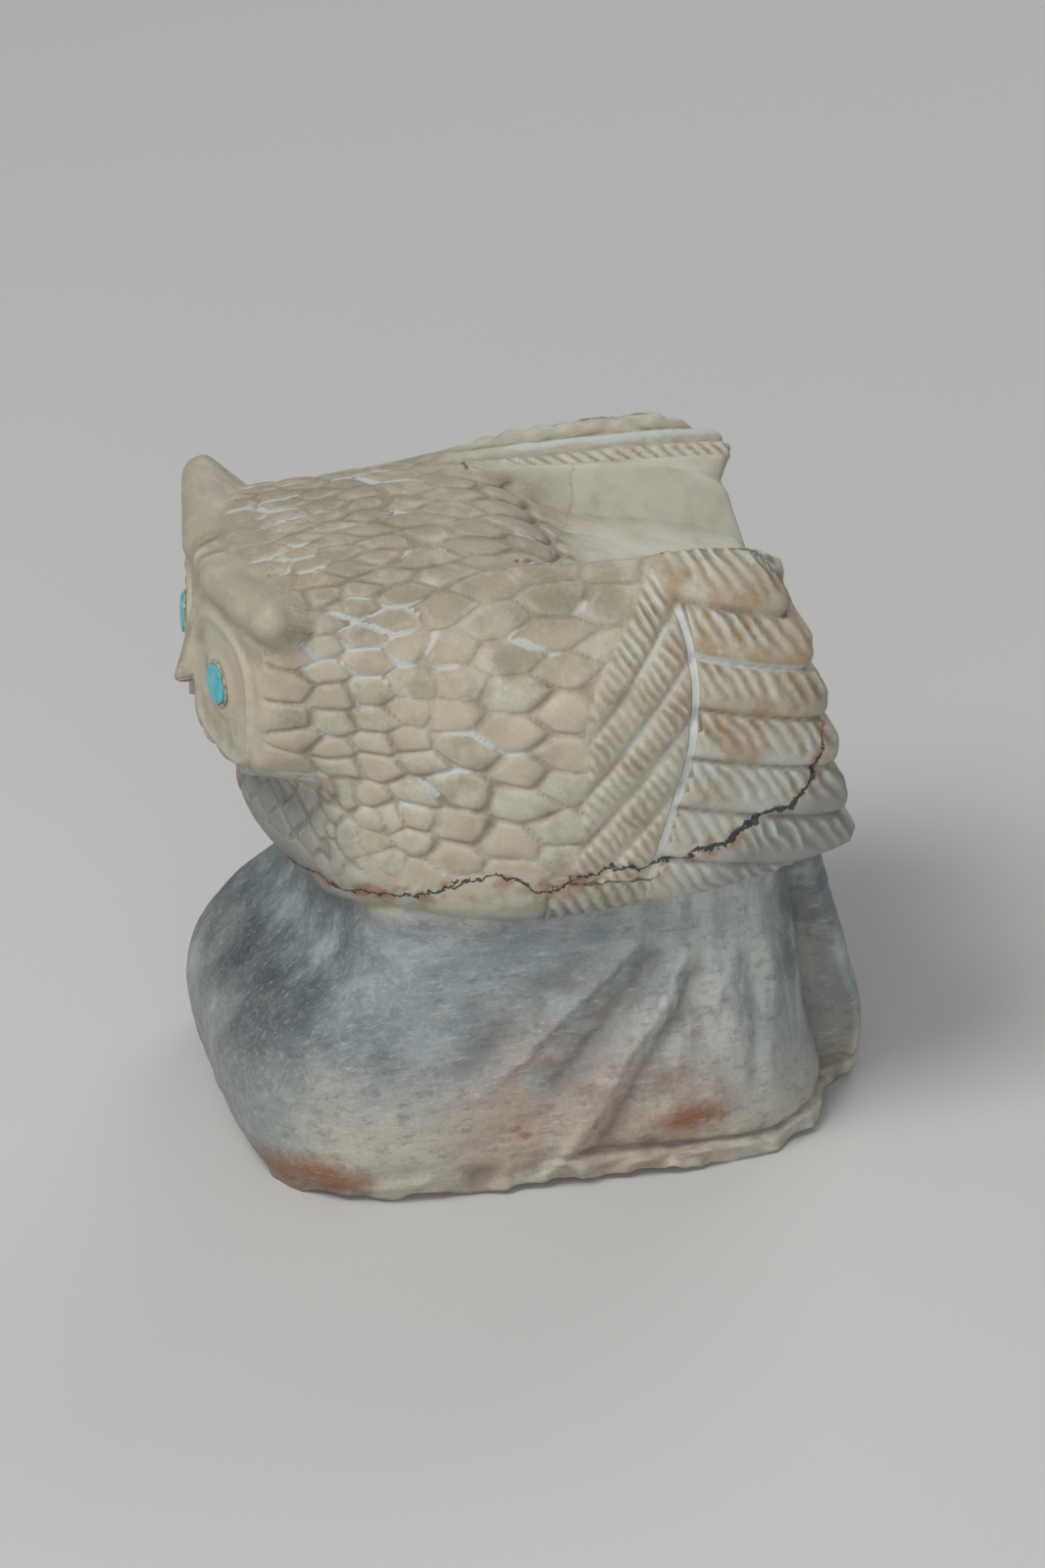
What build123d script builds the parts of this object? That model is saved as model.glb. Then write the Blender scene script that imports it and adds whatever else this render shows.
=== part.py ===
"""Hand-carved stone owl crouching on a rock, with two turquoise discs let into its face.

The owl and its rock are one piece of stone. Each eye is a disc bedded in adhesive in a drilled pocket.
Frame: +Z up, the owl faces -Y, its left side is +X, and the origin is the middle of the resting face.
"""
from build123d import *
import math
import os

# --- rock that the owl sits on: its resting face, its shoulder and its waist under the wings
base_length = 45.0
base_width = 36.0
base_corner = 9.0
base_swell = 0.8
base_swell_height = 7.4
base_forward = 2.5
waist_height = 18.5
waist_width = 31.5
waist_inset_front = 6.5
waist_inset_rear = 1.5
rock_top_height = 27.0

# --- foot of the tail, which runs down the back of the rock
tail_width = 18.0
tail_top_width = 12.6
tail_corner = 5.4
tail_reach = 4.5
tail_top_height = 28.0
tail_top_inset = 1.5

# --- body and folded wings: one carved mass, widest low on the wings, with a ridge along each wing's top
body_length = 43.0
body_width = 38.5
body_front = 22.0
widest_height = 30.5
belly_height = 22.5
back_height = 46.0
wing_ridge_rise = 5.6
wing_ridge_spacing = 23.0
wing_ridge_width = 6.0
rear_lean = 11.0

# --- roundness of the body's section: 1 is an ellipse, less is squarer; and points round half of it
upper_roundness = 0.8
lower_roundness = 0.55
half_outline_points = 12

# --- head
head_width = 25.5
head_length = 24.0
head_top_height = 49.6
head_chin_height = 32.5
face_inset = 1.2

# --- face: two flat discs, splayed a little to the sides, with the beak between them
face_disc_width = 10.8
face_disc_depth = 4.5
face_forward = 25.6
face_splay = 10.0
beak_length = 4.4
beak_width = 3.6
beak_tip_width = 0.9
beak_drop = 35.0

# --- ear tufts: thick ridges from the middle of the brow to a blunt tip
tuft_length = 13.5
tuft_root_width = 3.0
tuft_tip_width = 4.6
tuft_rise = 6.0
tuft_sweep = 22.0

# --- eyes: turquoise discs, and the adhesive that beds them
eye_spacing = 12.4
eye_height = 40.2
eye_diameter = 3.1
eye_thickness = 1.5
eye_proud = 0.45
eye_crown = 0.2
adhesive_wall = 0.15
adhesive_floor = 0.25
bead_width = 0.4
bead_height = 0.25

SIDES = {"left": 1, "right": -1}

# Stations from breast to rump. Each gives its place along the body, and its shares of the half width,
# of the back's height over the widest level, of the wing ridges' rise and of the belly's depth.
BODY_STATIONS = [
    (0.00, 0.34, 0.10, 0.00, 0.45),
    (0.10, 0.62, 0.55, 0.00, 0.90),
    (0.25, 0.86, 0.95, 0.00, 1.00),
    (0.45, 0.96, 1.07, 0.35, 1.00),
    (0.65, 1.00, 1.03, 0.90, 1.00),
    (0.85, 0.95, 0.96, 1.00, 0.95),
    (1.00, 0.80, 0.86, 0.80, 0.85),
]

# Stations from face to nape: place along the head, share of its full section, and how far it sinks
# into the body, as a share of the head's depth.
HEAD_STATIONS = [
    (0.00, 0.80, 0.00),
    (0.18, 0.96, 0.00),
    (0.45, 1.00, 0.00),
    (0.80, 0.86, 0.10),
    (1.00, 0.55, 0.25),
]


def rock():
    """The rock: rounded rectangles lofted from the resting face in to the waist and up inside the body."""
    levels = [
        (0.0, base_width, 0.0, 0.0),
        (base_swell_height, base_width + base_swell, 0.0, 0.0),
        (waist_height, waist_width, waist_inset_front, waist_inset_rear),
        (rock_top_height, waist_width, waist_inset_front, waist_inset_rear),
    ]
    sections = []
    for height, width, front_inset, rear_inset in levels:
        length = base_length - front_inset - rear_inset
        middle = (front_inset - rear_inset) / 2 - base_forward
        sections.append(Pos(0, middle, height) * RectangleRounded(width, length, base_corner))
    return loft(sections)


def tail():
    """The tail, a lobe that leaves the back of the rock at its foot and runs up under the wing tips."""
    rear = base_length / 2 - base_forward
    foot_length = tail_reach + tail_width
    foot = RectangleRounded(tail_width, foot_length, tail_corner)
    top = RectangleRounded(tail_top_width, foot_length, tail_corner)
    return loft([
        Pos(0, rear + tail_reach - foot_length / 2, 0) * foot,
        Pos(0, rear - tail_top_inset - foot_length / 2, tail_top_height) * top,
    ])


def body_section(station):
    """One upright cross-section of the body: a soft-cornered oval with a ridge over each wing."""
    place, width_share, back_share, ridge_share, belly_share = station
    half_width = width_share * body_width / 2
    back_rise = back_share * (back_height - widest_height)
    belly_fall = belly_share * (widest_height - belly_height)
    outline = []
    for step in range(2 * half_outline_points):
        angle = math.pi * step / half_outline_points
        across, up = math.cos(angle), math.sin(angle)
        roundness = upper_roundness if up >= 0 else lower_roundness
        x = half_width * math.copysign(abs(across) ** roundness, across)
        z = (back_rise if up >= 0 else belly_fall) * math.copysign(abs(up) ** roundness, up)
        if up > 0:
            off_ridge = (abs(x) - wing_ridge_spacing / 2) / (wing_ridge_width / 2)
            z += ridge_share * wing_ridge_rise * math.exp(-off_ridge ** 2) * min(1.0, 2 * up)
        outline.append((x, z))
    y = place * body_length - body_front
    section_plane = Plane(origin=(0, y, widest_height), x_dir=(1, 0, 0), z_dir=(0, -1, 0))
    return section_plane * make_face(Spline(*outline, periodic=True))


def body():
    """The body and folded wings, lofted from breast to rump and cut off at the leaning rear edge."""
    mass = loft([body_section(station) for station in BODY_STATIONS])
    rear_top = Plane(origin=(0, body_length - body_front, belly_height)).rotated((rear_lean, 0, 0))
    behind = rear_top * Box(
        2 * body_width, body_length, 3 * back_height, align=(Align.CENTER, Align.MIN, Align.CENTER))
    return mass - behind


def head():
    """The head, lofted from the flattened face back into the nape."""
    middle_height = (head_top_height + head_chin_height) / 2
    depth = head_top_height - head_chin_height
    sections = []
    for place, share, sink in HEAD_STATIONS:
        y = place * head_length - face_forward + face_inset
        middle = (0, y, middle_height - sink * depth)
        section_plane = Plane(origin=middle, x_dir=(1, 0, 0), z_dir=(0, -1, 0))
        sections.append(section_plane * Ellipse(share * head_width / 2, share * depth / 2))
    return loft(sections)


def face_plane(side):
    """The plane of one facial disc, centred on its eye, with its normal pointing out of the face."""
    turn = math.radians(side * face_splay)
    return Plane(
        origin=(side * eye_spacing / 2, -face_forward, eye_height),
        x_dir=(0, 0, 1),
        z_dir=(math.sin(turn), -math.cos(turn), 0))


def face_disc(side):
    """One flat facial disc, a short post that stands out of the head round the eye."""
    return face_plane(side) * Cylinder(
        face_disc_width / 2, face_disc_depth, align=(Align.CENTER, Align.CENTER, Align.MAX))


def beak():
    """The beak, a blunt cone that points forward and down between the discs."""
    drop = math.radians(beak_drop)
    root = (0, -face_forward + beak_length / 3, eye_height)
    return Plane(origin=root, z_dir=(0, -math.cos(drop), -math.sin(drop))) * Cone(
        beak_width / 2, beak_tip_width / 2, beak_length, align=(Align.CENTER, Align.CENTER, Align.MIN))


def tuft(side):
    """One ear tuft, a ridge from the middle of the brow out, up and back to its blunt ball tip."""
    rise = math.radians(tuft_rise)
    sweep = math.radians(tuft_sweep)
    root = Vector(0, -face_forward + face_inset + tuft_root_width / 2, eye_height + face_disc_width / 2)
    along = Vector(side * math.cos(sweep) * math.cos(rise), math.sin(sweep) * math.cos(rise), math.sin(rise))
    ridge_length = tuft_length - tuft_tip_width / 2
    ridge = Plane(origin=root, z_dir=along) * Cone(
        tuft_root_width / 2, tuft_tip_width / 2, ridge_length, align=(Align.CENTER, Align.CENTER, Align.MIN))
    tip = root + along * ridge_length
    return ridge + Pos(tip.X, tip.Y, tip.Z) * Sphere(tuft_tip_width / 2)


def eye_pocket(side):
    """The blind hole drilled in the disc for one eye and its adhesive."""
    depth = eye_thickness - eye_proud + adhesive_floor
    radius = eye_diameter / 2 + adhesive_wall
    return face_plane(side) * Cylinder(radius, depth, align=(Align.CENTER, Align.CENTER, Align.MAX))


def eye_inlay(side):
    """One turquoise disc: a plain edge and a slightly crowned face, standing proud of the stone."""
    radius = eye_diameter / 2
    seat = face_plane(side).offset(eye_proud - eye_thickness)
    edge = seat * Cylinder(radius, eye_thickness, align=(Align.CENTER, Align.CENTER, Align.MIN))
    crown_radius = (radius ** 2 + eye_crown ** 2) / (2 * eye_crown)
    crown = seat.offset(eye_thickness - crown_radius) * Sphere(crown_radius)
    return edge & crown


def eye_adhesive(side):
    """The adhesive bed: a thin cup round the disc, and the bead squeezed out onto the face."""
    pocket_radius = eye_diameter / 2 + adhesive_wall
    bead = face_plane(side) * Cone(
        pocket_radius + bead_width, pocket_radius, bead_height, align=(Align.CENTER, Align.CENTER, Align.MIN))
    disc = face_plane(side).offset(eye_proud - eye_thickness) * Cylinder(
        eye_diameter / 2, 2 * eye_thickness, align=(Align.CENTER, Align.CENTER, Align.MIN))
    return eye_pocket(side) + bead - disc


def carved_stone():
    """The whole stone, owl and rock in one, with a pocket drilled for each eye."""
    stone = rock() + tail() + body() + head() + beak()
    for side in SIDES.values():
        stone += face_disc(side)
        stone += tuft(side)
    for side in SIDES.values():
        stone -= eye_pocket(side)
    return stone


def main():
    """Builds every piece, puts the origin under the middle of the figure and writes the files."""
    pieces = {"carved_stone": carved_stone()}
    for name, side in SIDES.items():
        pieces[f"{name}_eye_inlay"] = eye_inlay(side)
        pieces[f"{name}_eye_adhesive"] = eye_adhesive(side)
    box = pieces["carved_stone"].bounding_box()
    to_origin = Pos(-box.center().X, -box.center().Y, 0)
    os.makedirs("parts", exist_ok=True)
    for name, piece in pieces.items():
        export_step(to_origin * piece, f"parts/{name}.step")


main()
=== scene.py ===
"""The looks of a small owl carved from one banded stone, with turquoise eyes let into its face.

The sections follow the figure as it is made: the owl, the rock it sits on, which is the same stone,
the adhesive in the eye pockets, the turquoise eyes, and last the floor, the lights and the camera.
Shapes are worked out in millimetres and written to the meshes in metres, in the CAD model's frame.
"""
import math

import bpy
import numpy as np
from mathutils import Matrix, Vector


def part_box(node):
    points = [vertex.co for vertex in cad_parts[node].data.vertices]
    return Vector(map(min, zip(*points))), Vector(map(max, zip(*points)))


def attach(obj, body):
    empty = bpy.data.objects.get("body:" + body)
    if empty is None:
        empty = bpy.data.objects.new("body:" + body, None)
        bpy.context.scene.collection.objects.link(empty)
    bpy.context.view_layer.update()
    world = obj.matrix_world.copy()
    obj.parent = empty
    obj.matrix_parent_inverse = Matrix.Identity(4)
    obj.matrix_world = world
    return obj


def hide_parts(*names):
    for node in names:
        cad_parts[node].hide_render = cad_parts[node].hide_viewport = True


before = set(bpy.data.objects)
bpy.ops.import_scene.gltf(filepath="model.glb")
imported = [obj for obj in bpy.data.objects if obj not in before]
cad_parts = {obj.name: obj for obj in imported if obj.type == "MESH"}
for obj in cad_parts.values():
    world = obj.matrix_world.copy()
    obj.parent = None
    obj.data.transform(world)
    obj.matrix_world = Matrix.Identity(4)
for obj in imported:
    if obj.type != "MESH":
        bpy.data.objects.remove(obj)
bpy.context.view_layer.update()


# ------------------------------------------------------------------------------------------------
# The owl: head, tufts, beak, body and folded wings, the upper part of the one carved stone.
# The form is ground from the block and smoothed, then scales and feathers are cut into it.
# ------------------------------------------------------------------------------------------------
MILLIMETRE = 0.001


def smooth_union(a, b, reach):
    """The lesser of two distances, with the crease between them filled over this reach."""
    mix = np.clip(0.5 + 0.5 * (b - a) / reach, 0.0, 1.0)
    return b * (1 - mix) + a * mix - reach * mix * (1 - mix)


def smooth_cut(a, b, reach):
    """The greater of two distances, with the edge between them rounded over this reach."""
    return -smooth_union(-a, -b, reach)


def smooth_step(value, low, high):
    """0 below low, 1 above high, and an S-curve between."""
    share = np.clip((value - low) / (high - low), 0.0, 1.0)
    return share * share * (3 - 2 * share)


def curve_through(value, places, heights):
    """A smooth curve through the given points: cubic pieces whose slopes come from their neighbours."""
    places, heights = np.asarray(places, float), np.asarray(heights, float)
    slopes = np.gradient(heights, places)
    value = np.clip(value, places[0], places[-1])
    left = np.clip(np.searchsorted(places, value) - 1, 0, len(places) - 2)
    gap = places[left + 1] - places[left]
    t = (value - places[left]) / gap
    return (heights[left] * (1 + 2 * t) * (1 - t) ** 2 + heights[left + 1] * t * t * (3 - 2 * t)
            + slopes[left] * gap * t * (1 - t) ** 2 - slopes[left + 1] * gap * t * t * (1 - t))


def ellipsoid(point, centre, radii):
    """Distance, near enough, from an ellipsoid's surface."""
    offset = (point - np.array(centre)) / np.array(radii)
    scaled = np.linalg.norm(offset, axis=-1)
    gradient = np.linalg.norm(offset / np.array(radii), axis=-1)
    return scaled * (scaled - 1) / np.maximum(gradient, 1e-6)


def tapered_rod(point, start, end, start_radius, end_radius):
    """Distance from a rod with ball ends whose radius changes evenly along it."""
    start, end = np.array(start), np.array(end)
    along = end - start
    share = np.clip((point - start) @ along / (along @ along), 0.0, 1.0)
    radius = start_radius + (end_radius - start_radius) * share
    return np.linalg.norm(point - start - share[..., None] * along, axis=-1) - radius


def value_noise(point, size, seed):
    """Smooth noise from -1 to 1: random values at the corners of a lattice, blended with S-curves."""
    scaled = point / size
    corner = np.floor(scaled).astype(np.int64)
    share = scaled - corner
    share = share * share * (3 - 2 * share)
    total = np.zeros(point.shape[:-1])
    for corner_x in (0, 1):
        for corner_y in (0, 1):
            for corner_z in (0, 1):
                key = ((corner[..., 0] + corner_x) * 73856093 ^ (corner[..., 1] + corner_y) * 19349663
                       ^ (corner[..., 2] + corner_z) * 83492791 ^ seed * 2654435761)
                key = (key ^ (key >> 13)) * 1274126177 & 0x7FFFFFFF
                key = key ^ (key >> 16)
                weight = (np.where(corner_x, share[..., 0], 1 - share[..., 0])
                          * np.where(corner_y, share[..., 1], 1 - share[..., 1])
                          * np.where(corner_z, share[..., 2], 1 - share[..., 2]))
                total += weight * ((key % 20011) / 10005.0 - 1.0)
    return total


EYE_THICKNESS = 1.5
EYE_PROUD = 0.45
FACE_SPLAY = math.radians(10)
eye_low, eye_high = (np.array(corner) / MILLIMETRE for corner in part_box("left_eye_inlay"))
EYE_RADIUS = (eye_high[2] - eye_low[2]) / 2
EYE_MIDDLE = (eye_low + eye_high) / 2
EYE_SEAT = EYE_MIDDLE + (EYE_THICKNESS / 2 - EYE_PROUD) * np.array(
    [math.sin(FACE_SPLAY), -math.cos(FACE_SPLAY), 0.0])
EYE_HALF_GAP, FACE_FRONT, EYE_HEIGHT = EYE_SEAT

WIDEST_HEIGHT = 30.5
RIDGE_SPACING = 12.0
NEAR_RIDGE_DROP = 1.5
ROW_TOP = 47.2
ROW_SLOPE = 0.27
SHAFT_MIDDLE = 9.6


def shaft_line(z):
    """Where the wing's shaft lies along the body at each height."""
    return curve_through(z, [22.0, 29.5, 36.9, 43.5, 49.5], [5.2, 7.3, 9.45, 10.0, 8.8])


def feather_row(y, z):
    """Number of the flight-feather row at a place on the wing's side; grooves are at whole numbers."""
    drop = ROW_TOP - z - ROW_SLOPE * (y - SHAFT_MIDDLE)
    upper, growth = 3.3, 0.13
    return np.where(
        drop > 0,
        (np.sqrt(upper ** 2 + 4 * growth * np.maximum(drop, 0)) - upper) / (2 * growth),
        drop / upper)


def body_form(point):
    """Body and wings: a soft-cornered oval section at each place along the figure, with a ridge on each
    wing's top that falls steeply inward to the back, cut off at the leaning, scalloped rear edge."""
    x, y, z = np.abs(point[..., 0]), point[..., 1], point[..., 2]
    up = z - WIDEST_HEIGHT
    places = [-16.0, -10.0, -4.0, 2.0, 8.0, 14.0, 19.0, 24.0]
    half_width = curve_through(y, places, [12.8, 16.0, 17.8, 18.8, 19.2, 18.9, 17.8, 15.4])
    back_rise = curve_through(y, places, [17.0, 18.0, 18.8, 19.2, 19.3, 19.2, 18.0, 15.6])
    ridge_rise = curve_through(y, places, [0.0, 0.2, 0.7, 1.4, 1.8, 2.0, 1.6, 1.0])
    on_near_wing = smooth_step(point[..., 0], 2.0, 8.0) * smooth_step(y, -4.0, 6.0)
    ridge_rise = ridge_rise - NEAR_RIDGE_DROP * on_near_wing
    valley_fall = curve_through(y, places, [0.0, 0.3, 1.4, 3.0, 4.6, 5.6, 6.0, 6.0])
    belly_fall = WIDEST_HEIGHT - curve_through(y, places, [22.8, 21.4, 20.7, 21.1, 22.0, 22.7, 23.2, 23.6])
    radius = np.hypot(x, up)
    across, rise = x / np.maximum(radius, 1e-6), np.abs(up) / np.maximum(radius, 1e-6)
    corner = np.where(up > 0, 3.0, 4.5)
    height = np.where(up > 0, back_rise, belly_fall)
    edge = ((across / half_width) ** corner + (rise / height) ** corner) ** (-1 / corner)
    level_x = 18.0 * across / np.maximum(rise, 1e-3)
    stepped = (0.5 * smooth_step(level_x, RIDGE_SPACING - 3.2, RIDGE_SPACING + 0.4)
               + 0.5 * smooth_step(level_x, RIDGE_SPACING - 5.4, RIDGE_SPACING - 4.0))
    inward = np.where(
        point[..., 0] > 0, smooth_step(level_x, RIDGE_SPACING - 4.8, RIDGE_SPACING - 1.6), stepped)
    outward = np.exp(-(np.maximum(level_x - RIDGE_SPACING, 0) / 3.6) ** 2)
    edge = edge + np.where(up > 0, ridge_rise * inward * outward - valley_fall * (1 - inward), 0.0)
    section = radius - edge
    wing = smooth_step(x, 8.0, 10.5)
    scallop = np.abs(np.sin(math.pi * feather_row(y, z))) ** 0.6
    near_top = -1.4 * smooth_step(z, 43.0, 50.0)
    far_top = 2.3 * smooth_step(z, 45.0, 47.4)
    tip = np.where(point[..., 0] > 0, near_top, far_top)
    scallop = (scallop - 0.7) * (1 - smooth_step(z, 45.0, 47.0))
    rear = 18.6 + (47.0 - z) * 0.225 + (tip + 0.9 * scallop) * wing + 0.3 * (1 - wing)
    form = smooth_cut(section, (y - rear) * 0.97, 1.0)
    return smooth_cut(form, -16.0 - y, 1.0)


DISC_HALF_WIDTH, DISC_HALF_HEIGHT, DISC_DROP = 5.6, 5.3, 0.4
DISC_ROUNDNESS = 3


def on_face(mirrored):
    """How far a place on the left side stands out of the facial disc's plane, and its share of the way
    from the disc's middle to its rim."""
    normal = np.array([math.sin(FACE_SPLAY), -math.cos(FACE_SPLAY), 0.0])
    sideways = np.array([math.cos(FACE_SPLAY), math.sin(FACE_SPLAY), 0.0])
    offset = mirrored - np.array([EYE_HALF_GAP, FACE_FRONT, EYE_HEIGHT - DISC_DROP])
    across, up = offset @ sideways / DISC_HALF_WIDTH, offset[..., 2] / DISC_HALF_HEIGHT
    rim = (np.abs(across) ** DISC_ROUNDNESS + np.abs(up) ** DISC_ROUNDNESS) ** (1 / DISC_ROUNDNESS)
    return offset @ normal, rim


HEAD_MIDDLE = np.array([0.0, -9.0, 40.9])
HEAD_HALF_WIDTH, HEAD_HALF_HEIGHT, FACE_LENGTH, NAPE_LENGTH = 14.0, 8.6, 20.0, 12.0
HEAD_ROUNDNESS = 3.4
DISH_DEPTH, DISC_THICKNESS, DISC_PROUD = 0.34, 5.0, 0.55
BEAK_ROOT, BEAK_TIP = (0.0, FACE_FRONT + 0.3, 42.6), (0.0, FACE_FRONT - 1.6, 38.0)
BEAK_ROOT_RADIUS, BEAK_TIP_RADIUS = 1.0, 0.55
TUFT_ROOT, TUFT_TIP = (3.3, -22.9, 47.3), (12.5, -20.7, 48.2)
TUFT_ROOT_RADIUS, TUFT_TIP_RADIUS = 1.5, 1.9


def head_form(point):
    """Head: an egg cut flat by the two facial discs, with the beak and the two tufts."""
    mirrored = point.copy()
    mirrored[..., 0] = np.abs(point[..., 0])
    length = np.where(point[..., 1] < HEAD_MIDDLE[1], FACE_LENGTH, NAPE_LENGTH)
    radii = np.stack([HEAD_HALF_WIDTH + 0 * length, length, HEAD_HALF_HEIGHT + 0 * length], -1)
    share = np.abs(point - HEAD_MIDDLE) / radii
    head = ((share ** HEAD_ROUNDNESS).sum(-1) ** (1 / HEAD_ROUNDNESS) - 1) * HEAD_HALF_HEIGHT
    depth, rim = on_face(mirrored)
    dish = DISH_DEPTH * np.clip(1.25 - 1.25 * rim ** 8, 0, 1) * smooth_step(rim, 0.30, 0.55)
    disc = smooth_cut((rim - 1) * DISC_HALF_HEIGHT, depth + dish, 0.16)
    disc = smooth_cut(disc, -depth - DISC_THICKNESS, 0.5)
    head = smooth_cut(head, depth + DISC_PROUD, 0.8)
    head = smooth_union(head, disc, 0.35)
    tuft = tapered_rod(mirrored, TUFT_ROOT, TUFT_TIP, TUFT_ROOT_RADIUS, TUFT_TIP_RADIUS)
    head = smooth_union(head, tuft, 0.55)
    beak = tapered_rod(mirrored, BEAK_ROOT, BEAK_TIP, BEAK_ROOT_RADIUS, BEAK_TIP_RADIUS)
    return smooth_union(head, beak, 0.6)


def owl_form(point):
    """Distance from the owl's smooth surface, before any feather is cut."""
    breast = ellipsoid(point, (0.0, -9.5, 29.0), (13.0, 11.6, 9.0))
    owl = smooth_union(body_form(point), breast, 4.0)
    return smooth_union(owl, head_form(point), 2.5)


def cast(form, origins, directions, reach):
    """Where rays that start inside a form leave it, found by halving the interval again and again."""
    near = np.zeros(origins.shape[:-1])
    far = np.full(origins.shape[:-1], float(reach))
    for _ in range(22):
        middle = (near + far) / 2
        inside = form(origins + directions * middle[..., None]) < 0
        near = np.where(inside, middle, near)
        far = np.where(inside, far, middle)
    return origins + directions * ((near + far) / 2)[..., None]


def even_steps(points, axis, count, weight):
    """Fractions of the way along one grid axis that give steps of about equal surface length."""
    gaps = np.linalg.norm(np.diff(points, axis=axis), axis=-1)
    length = (gaps * weight).mean(axis=1 - axis)
    total = np.concatenate([[0.0], np.cumsum(length)])
    places = np.linspace(0.0, 1.0, len(total))
    return np.interp(np.linspace(0.0, total[-1], count), total, places)


SPINE_FRONT, SPINE_REAR = np.array([0.0, -12.0, 37.3]), np.array([0.0, 8.0, 34.0])


def owl_surface(turn, slant):
    """Rays fan out of a level spine: turn goes once round it and slant swings from the face at the
    front pole to the rump at the rear pole while the ray's start slides along the spine."""
    turn, slant = np.meshgrid(turn * 2 * math.pi - math.pi / 2, slant * math.pi, indexing="ij")
    directions = np.stack([np.cos(turn) * np.sin(slant), -np.cos(slant), np.sin(turn) * np.sin(slant)], -1)
    travel = (slant / math.pi)[..., None]
    origins = SPINE_FRONT + (SPINE_REAR - SPINE_FRONT) * travel
    return cast(owl_form, origins, directions, 40)


AROUND, ALONG = 460, 214
POLE_GAP = 0.002
coarse_turn = np.linspace(0, 1, 181)
coarse_slant = np.linspace(POLE_GAP, 1 - POLE_GAP, 120)
coarse = owl_surface(coarse_turn, coarse_slant)
lower_side = np.where(coarse[:-1, :, 2] < 26, 0.45, 1.0)
turns = even_steps(coarse, 0, AROUND + 1, lower_side)[:-1]
slants = POLE_GAP + (1 - 2 * POLE_GAP) * even_steps(coarse, 1, ALONG, 1.0)
owl_points = owl_surface(turns, slants)


def outward_normals(points):
    """Unit normals of a grid that is closed round its first axis."""
    round_step = np.roll(points, -1, 0) - np.roll(points, 1, 0)
    along_step = np.gradient(points, axis=1)
    normal = np.cross(along_step, round_step)
    return normal / np.maximum(np.linalg.norm(normal, axis=-1, keepdims=True), 1e-9)


def closed_mesh(name, points, attributes):
    """A mesh from a grid of millimetre points, closed round its first axis and capped by one vertex
    at each end of its second, with named values kept at the vertices."""
    around, along = points.shape[:2]
    poles = np.stack([points[:, 0].mean(0), points[:, -1].mean(0)])
    vertices = np.concatenate([points.reshape(-1, 3), poles]) * MILLIMETRE
    index = np.arange(around * along).reshape(around, along)
    after = np.roll(index, -1, 0)
    quads = np.stack([index[:, :-1], index[:, 1:], after[:, 1:], after[:, :-1]], -1).reshape(-1, 4)
    first = np.stack([np.full(around, around * along), index[:, 0], after[:, 0]], -1)
    last = np.stack([np.full(around, around * along + 1), after[:, -1], index[:, -1]], -1)
    mesh = bpy.data.meshes.new(name)
    mesh.vertices.add(len(vertices))
    mesh.vertices.foreach_set("co", vertices.ravel())
    loops = np.concatenate([quads.ravel(), first.ravel(), last.ravel()])
    starts = np.concatenate([
        np.arange(len(quads)) * 4, quads.size + np.arange(2 * around) * 3])
    mesh.loops.add(len(loops))
    mesh.loops.foreach_set("vertex_index", loops.astype(np.int32))
    mesh.polygons.add(len(starts))
    mesh.polygons.foreach_set("loop_start", starts.astype(np.int32))
    mesh.polygons.foreach_set("use_smooth", np.ones(len(starts), bool))
    mesh.update(calc_edges=True)
    mesh.validate()
    for key, values in attributes.items():
        flat = values.reshape(-1, 3)
        ends = np.stack([values[:, 0].mean(0), values[:, -1].mean(0)])
        layer = mesh.attributes.new(key, "FLOAT_VECTOR", "POINT")
        layer.data.foreach_set("vector", np.concatenate([flat, ends]).ravel())
    piece = bpy.data.objects.new(name, mesh)
    bpy.context.scene.collection.objects.link(piece)
    return piece


def covert_front(z):
    """Where the short wing coverts begin along the body at each height."""
    return curve_through(z, [26.0, 29.5, 36.0, 41.0, 45.0, 47.5], [0.0, 0.9, 1.5, 2.2, 4.5, 6.8])


VEIN_PLACES = [-21.7, -20.9, -16.8, -11.4, -5.0, -0.6, 1.4, 7.2, 11.8, 15.4, 17.7, 19.8, 20.8]
VEIN_HEIGHTS = [30.4, 26.4, 25.4, 25.2, 27.3, 25.9, 27.0, 27.6, 28.8, 30.5, 31.2, 34.2, 38.6]
STEEPEST_LEAN = 2.5


def off_vein_line(x, y, z):
    """Distance above the dark vein, which runs along the figure's side and turns up at the rear."""
    walk = np.linspace(VEIN_PLACES[0], VEIN_PLACES[-1], 400)
    slope = np.gradient(curve_through(walk, VEIN_PLACES, VEIN_HEIGHTS), walk)
    lean = np.clip(np.interp(y, walk, slope), -STEEPEST_LEAN, STEEPEST_LEAN)
    height = curve_through(y, VEIN_PLACES, VEIN_HEIGHTS)
    return (z - 0.05 * (x - 17.0) - height) / np.sqrt(1 + lean ** 2)


HEAD_SCALES_ROUND, BODY_SCALES_ROUND = 33, 27
FIRST_RING, LAST_RING, SHOULDER = -19.4, 15.0, -10.0
RING_OVERLAP = 0.65
TILE_WIDTH, TILE_DROP, TILE_LENGTH, TILE_HEIGHT = 2.7, 1.9, 3.5, 2.9
BREAST_TOP, BREAST_BOTTOM, BREAST_HALF_WIDTH = 33.6, 24.0, 13.5


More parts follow.
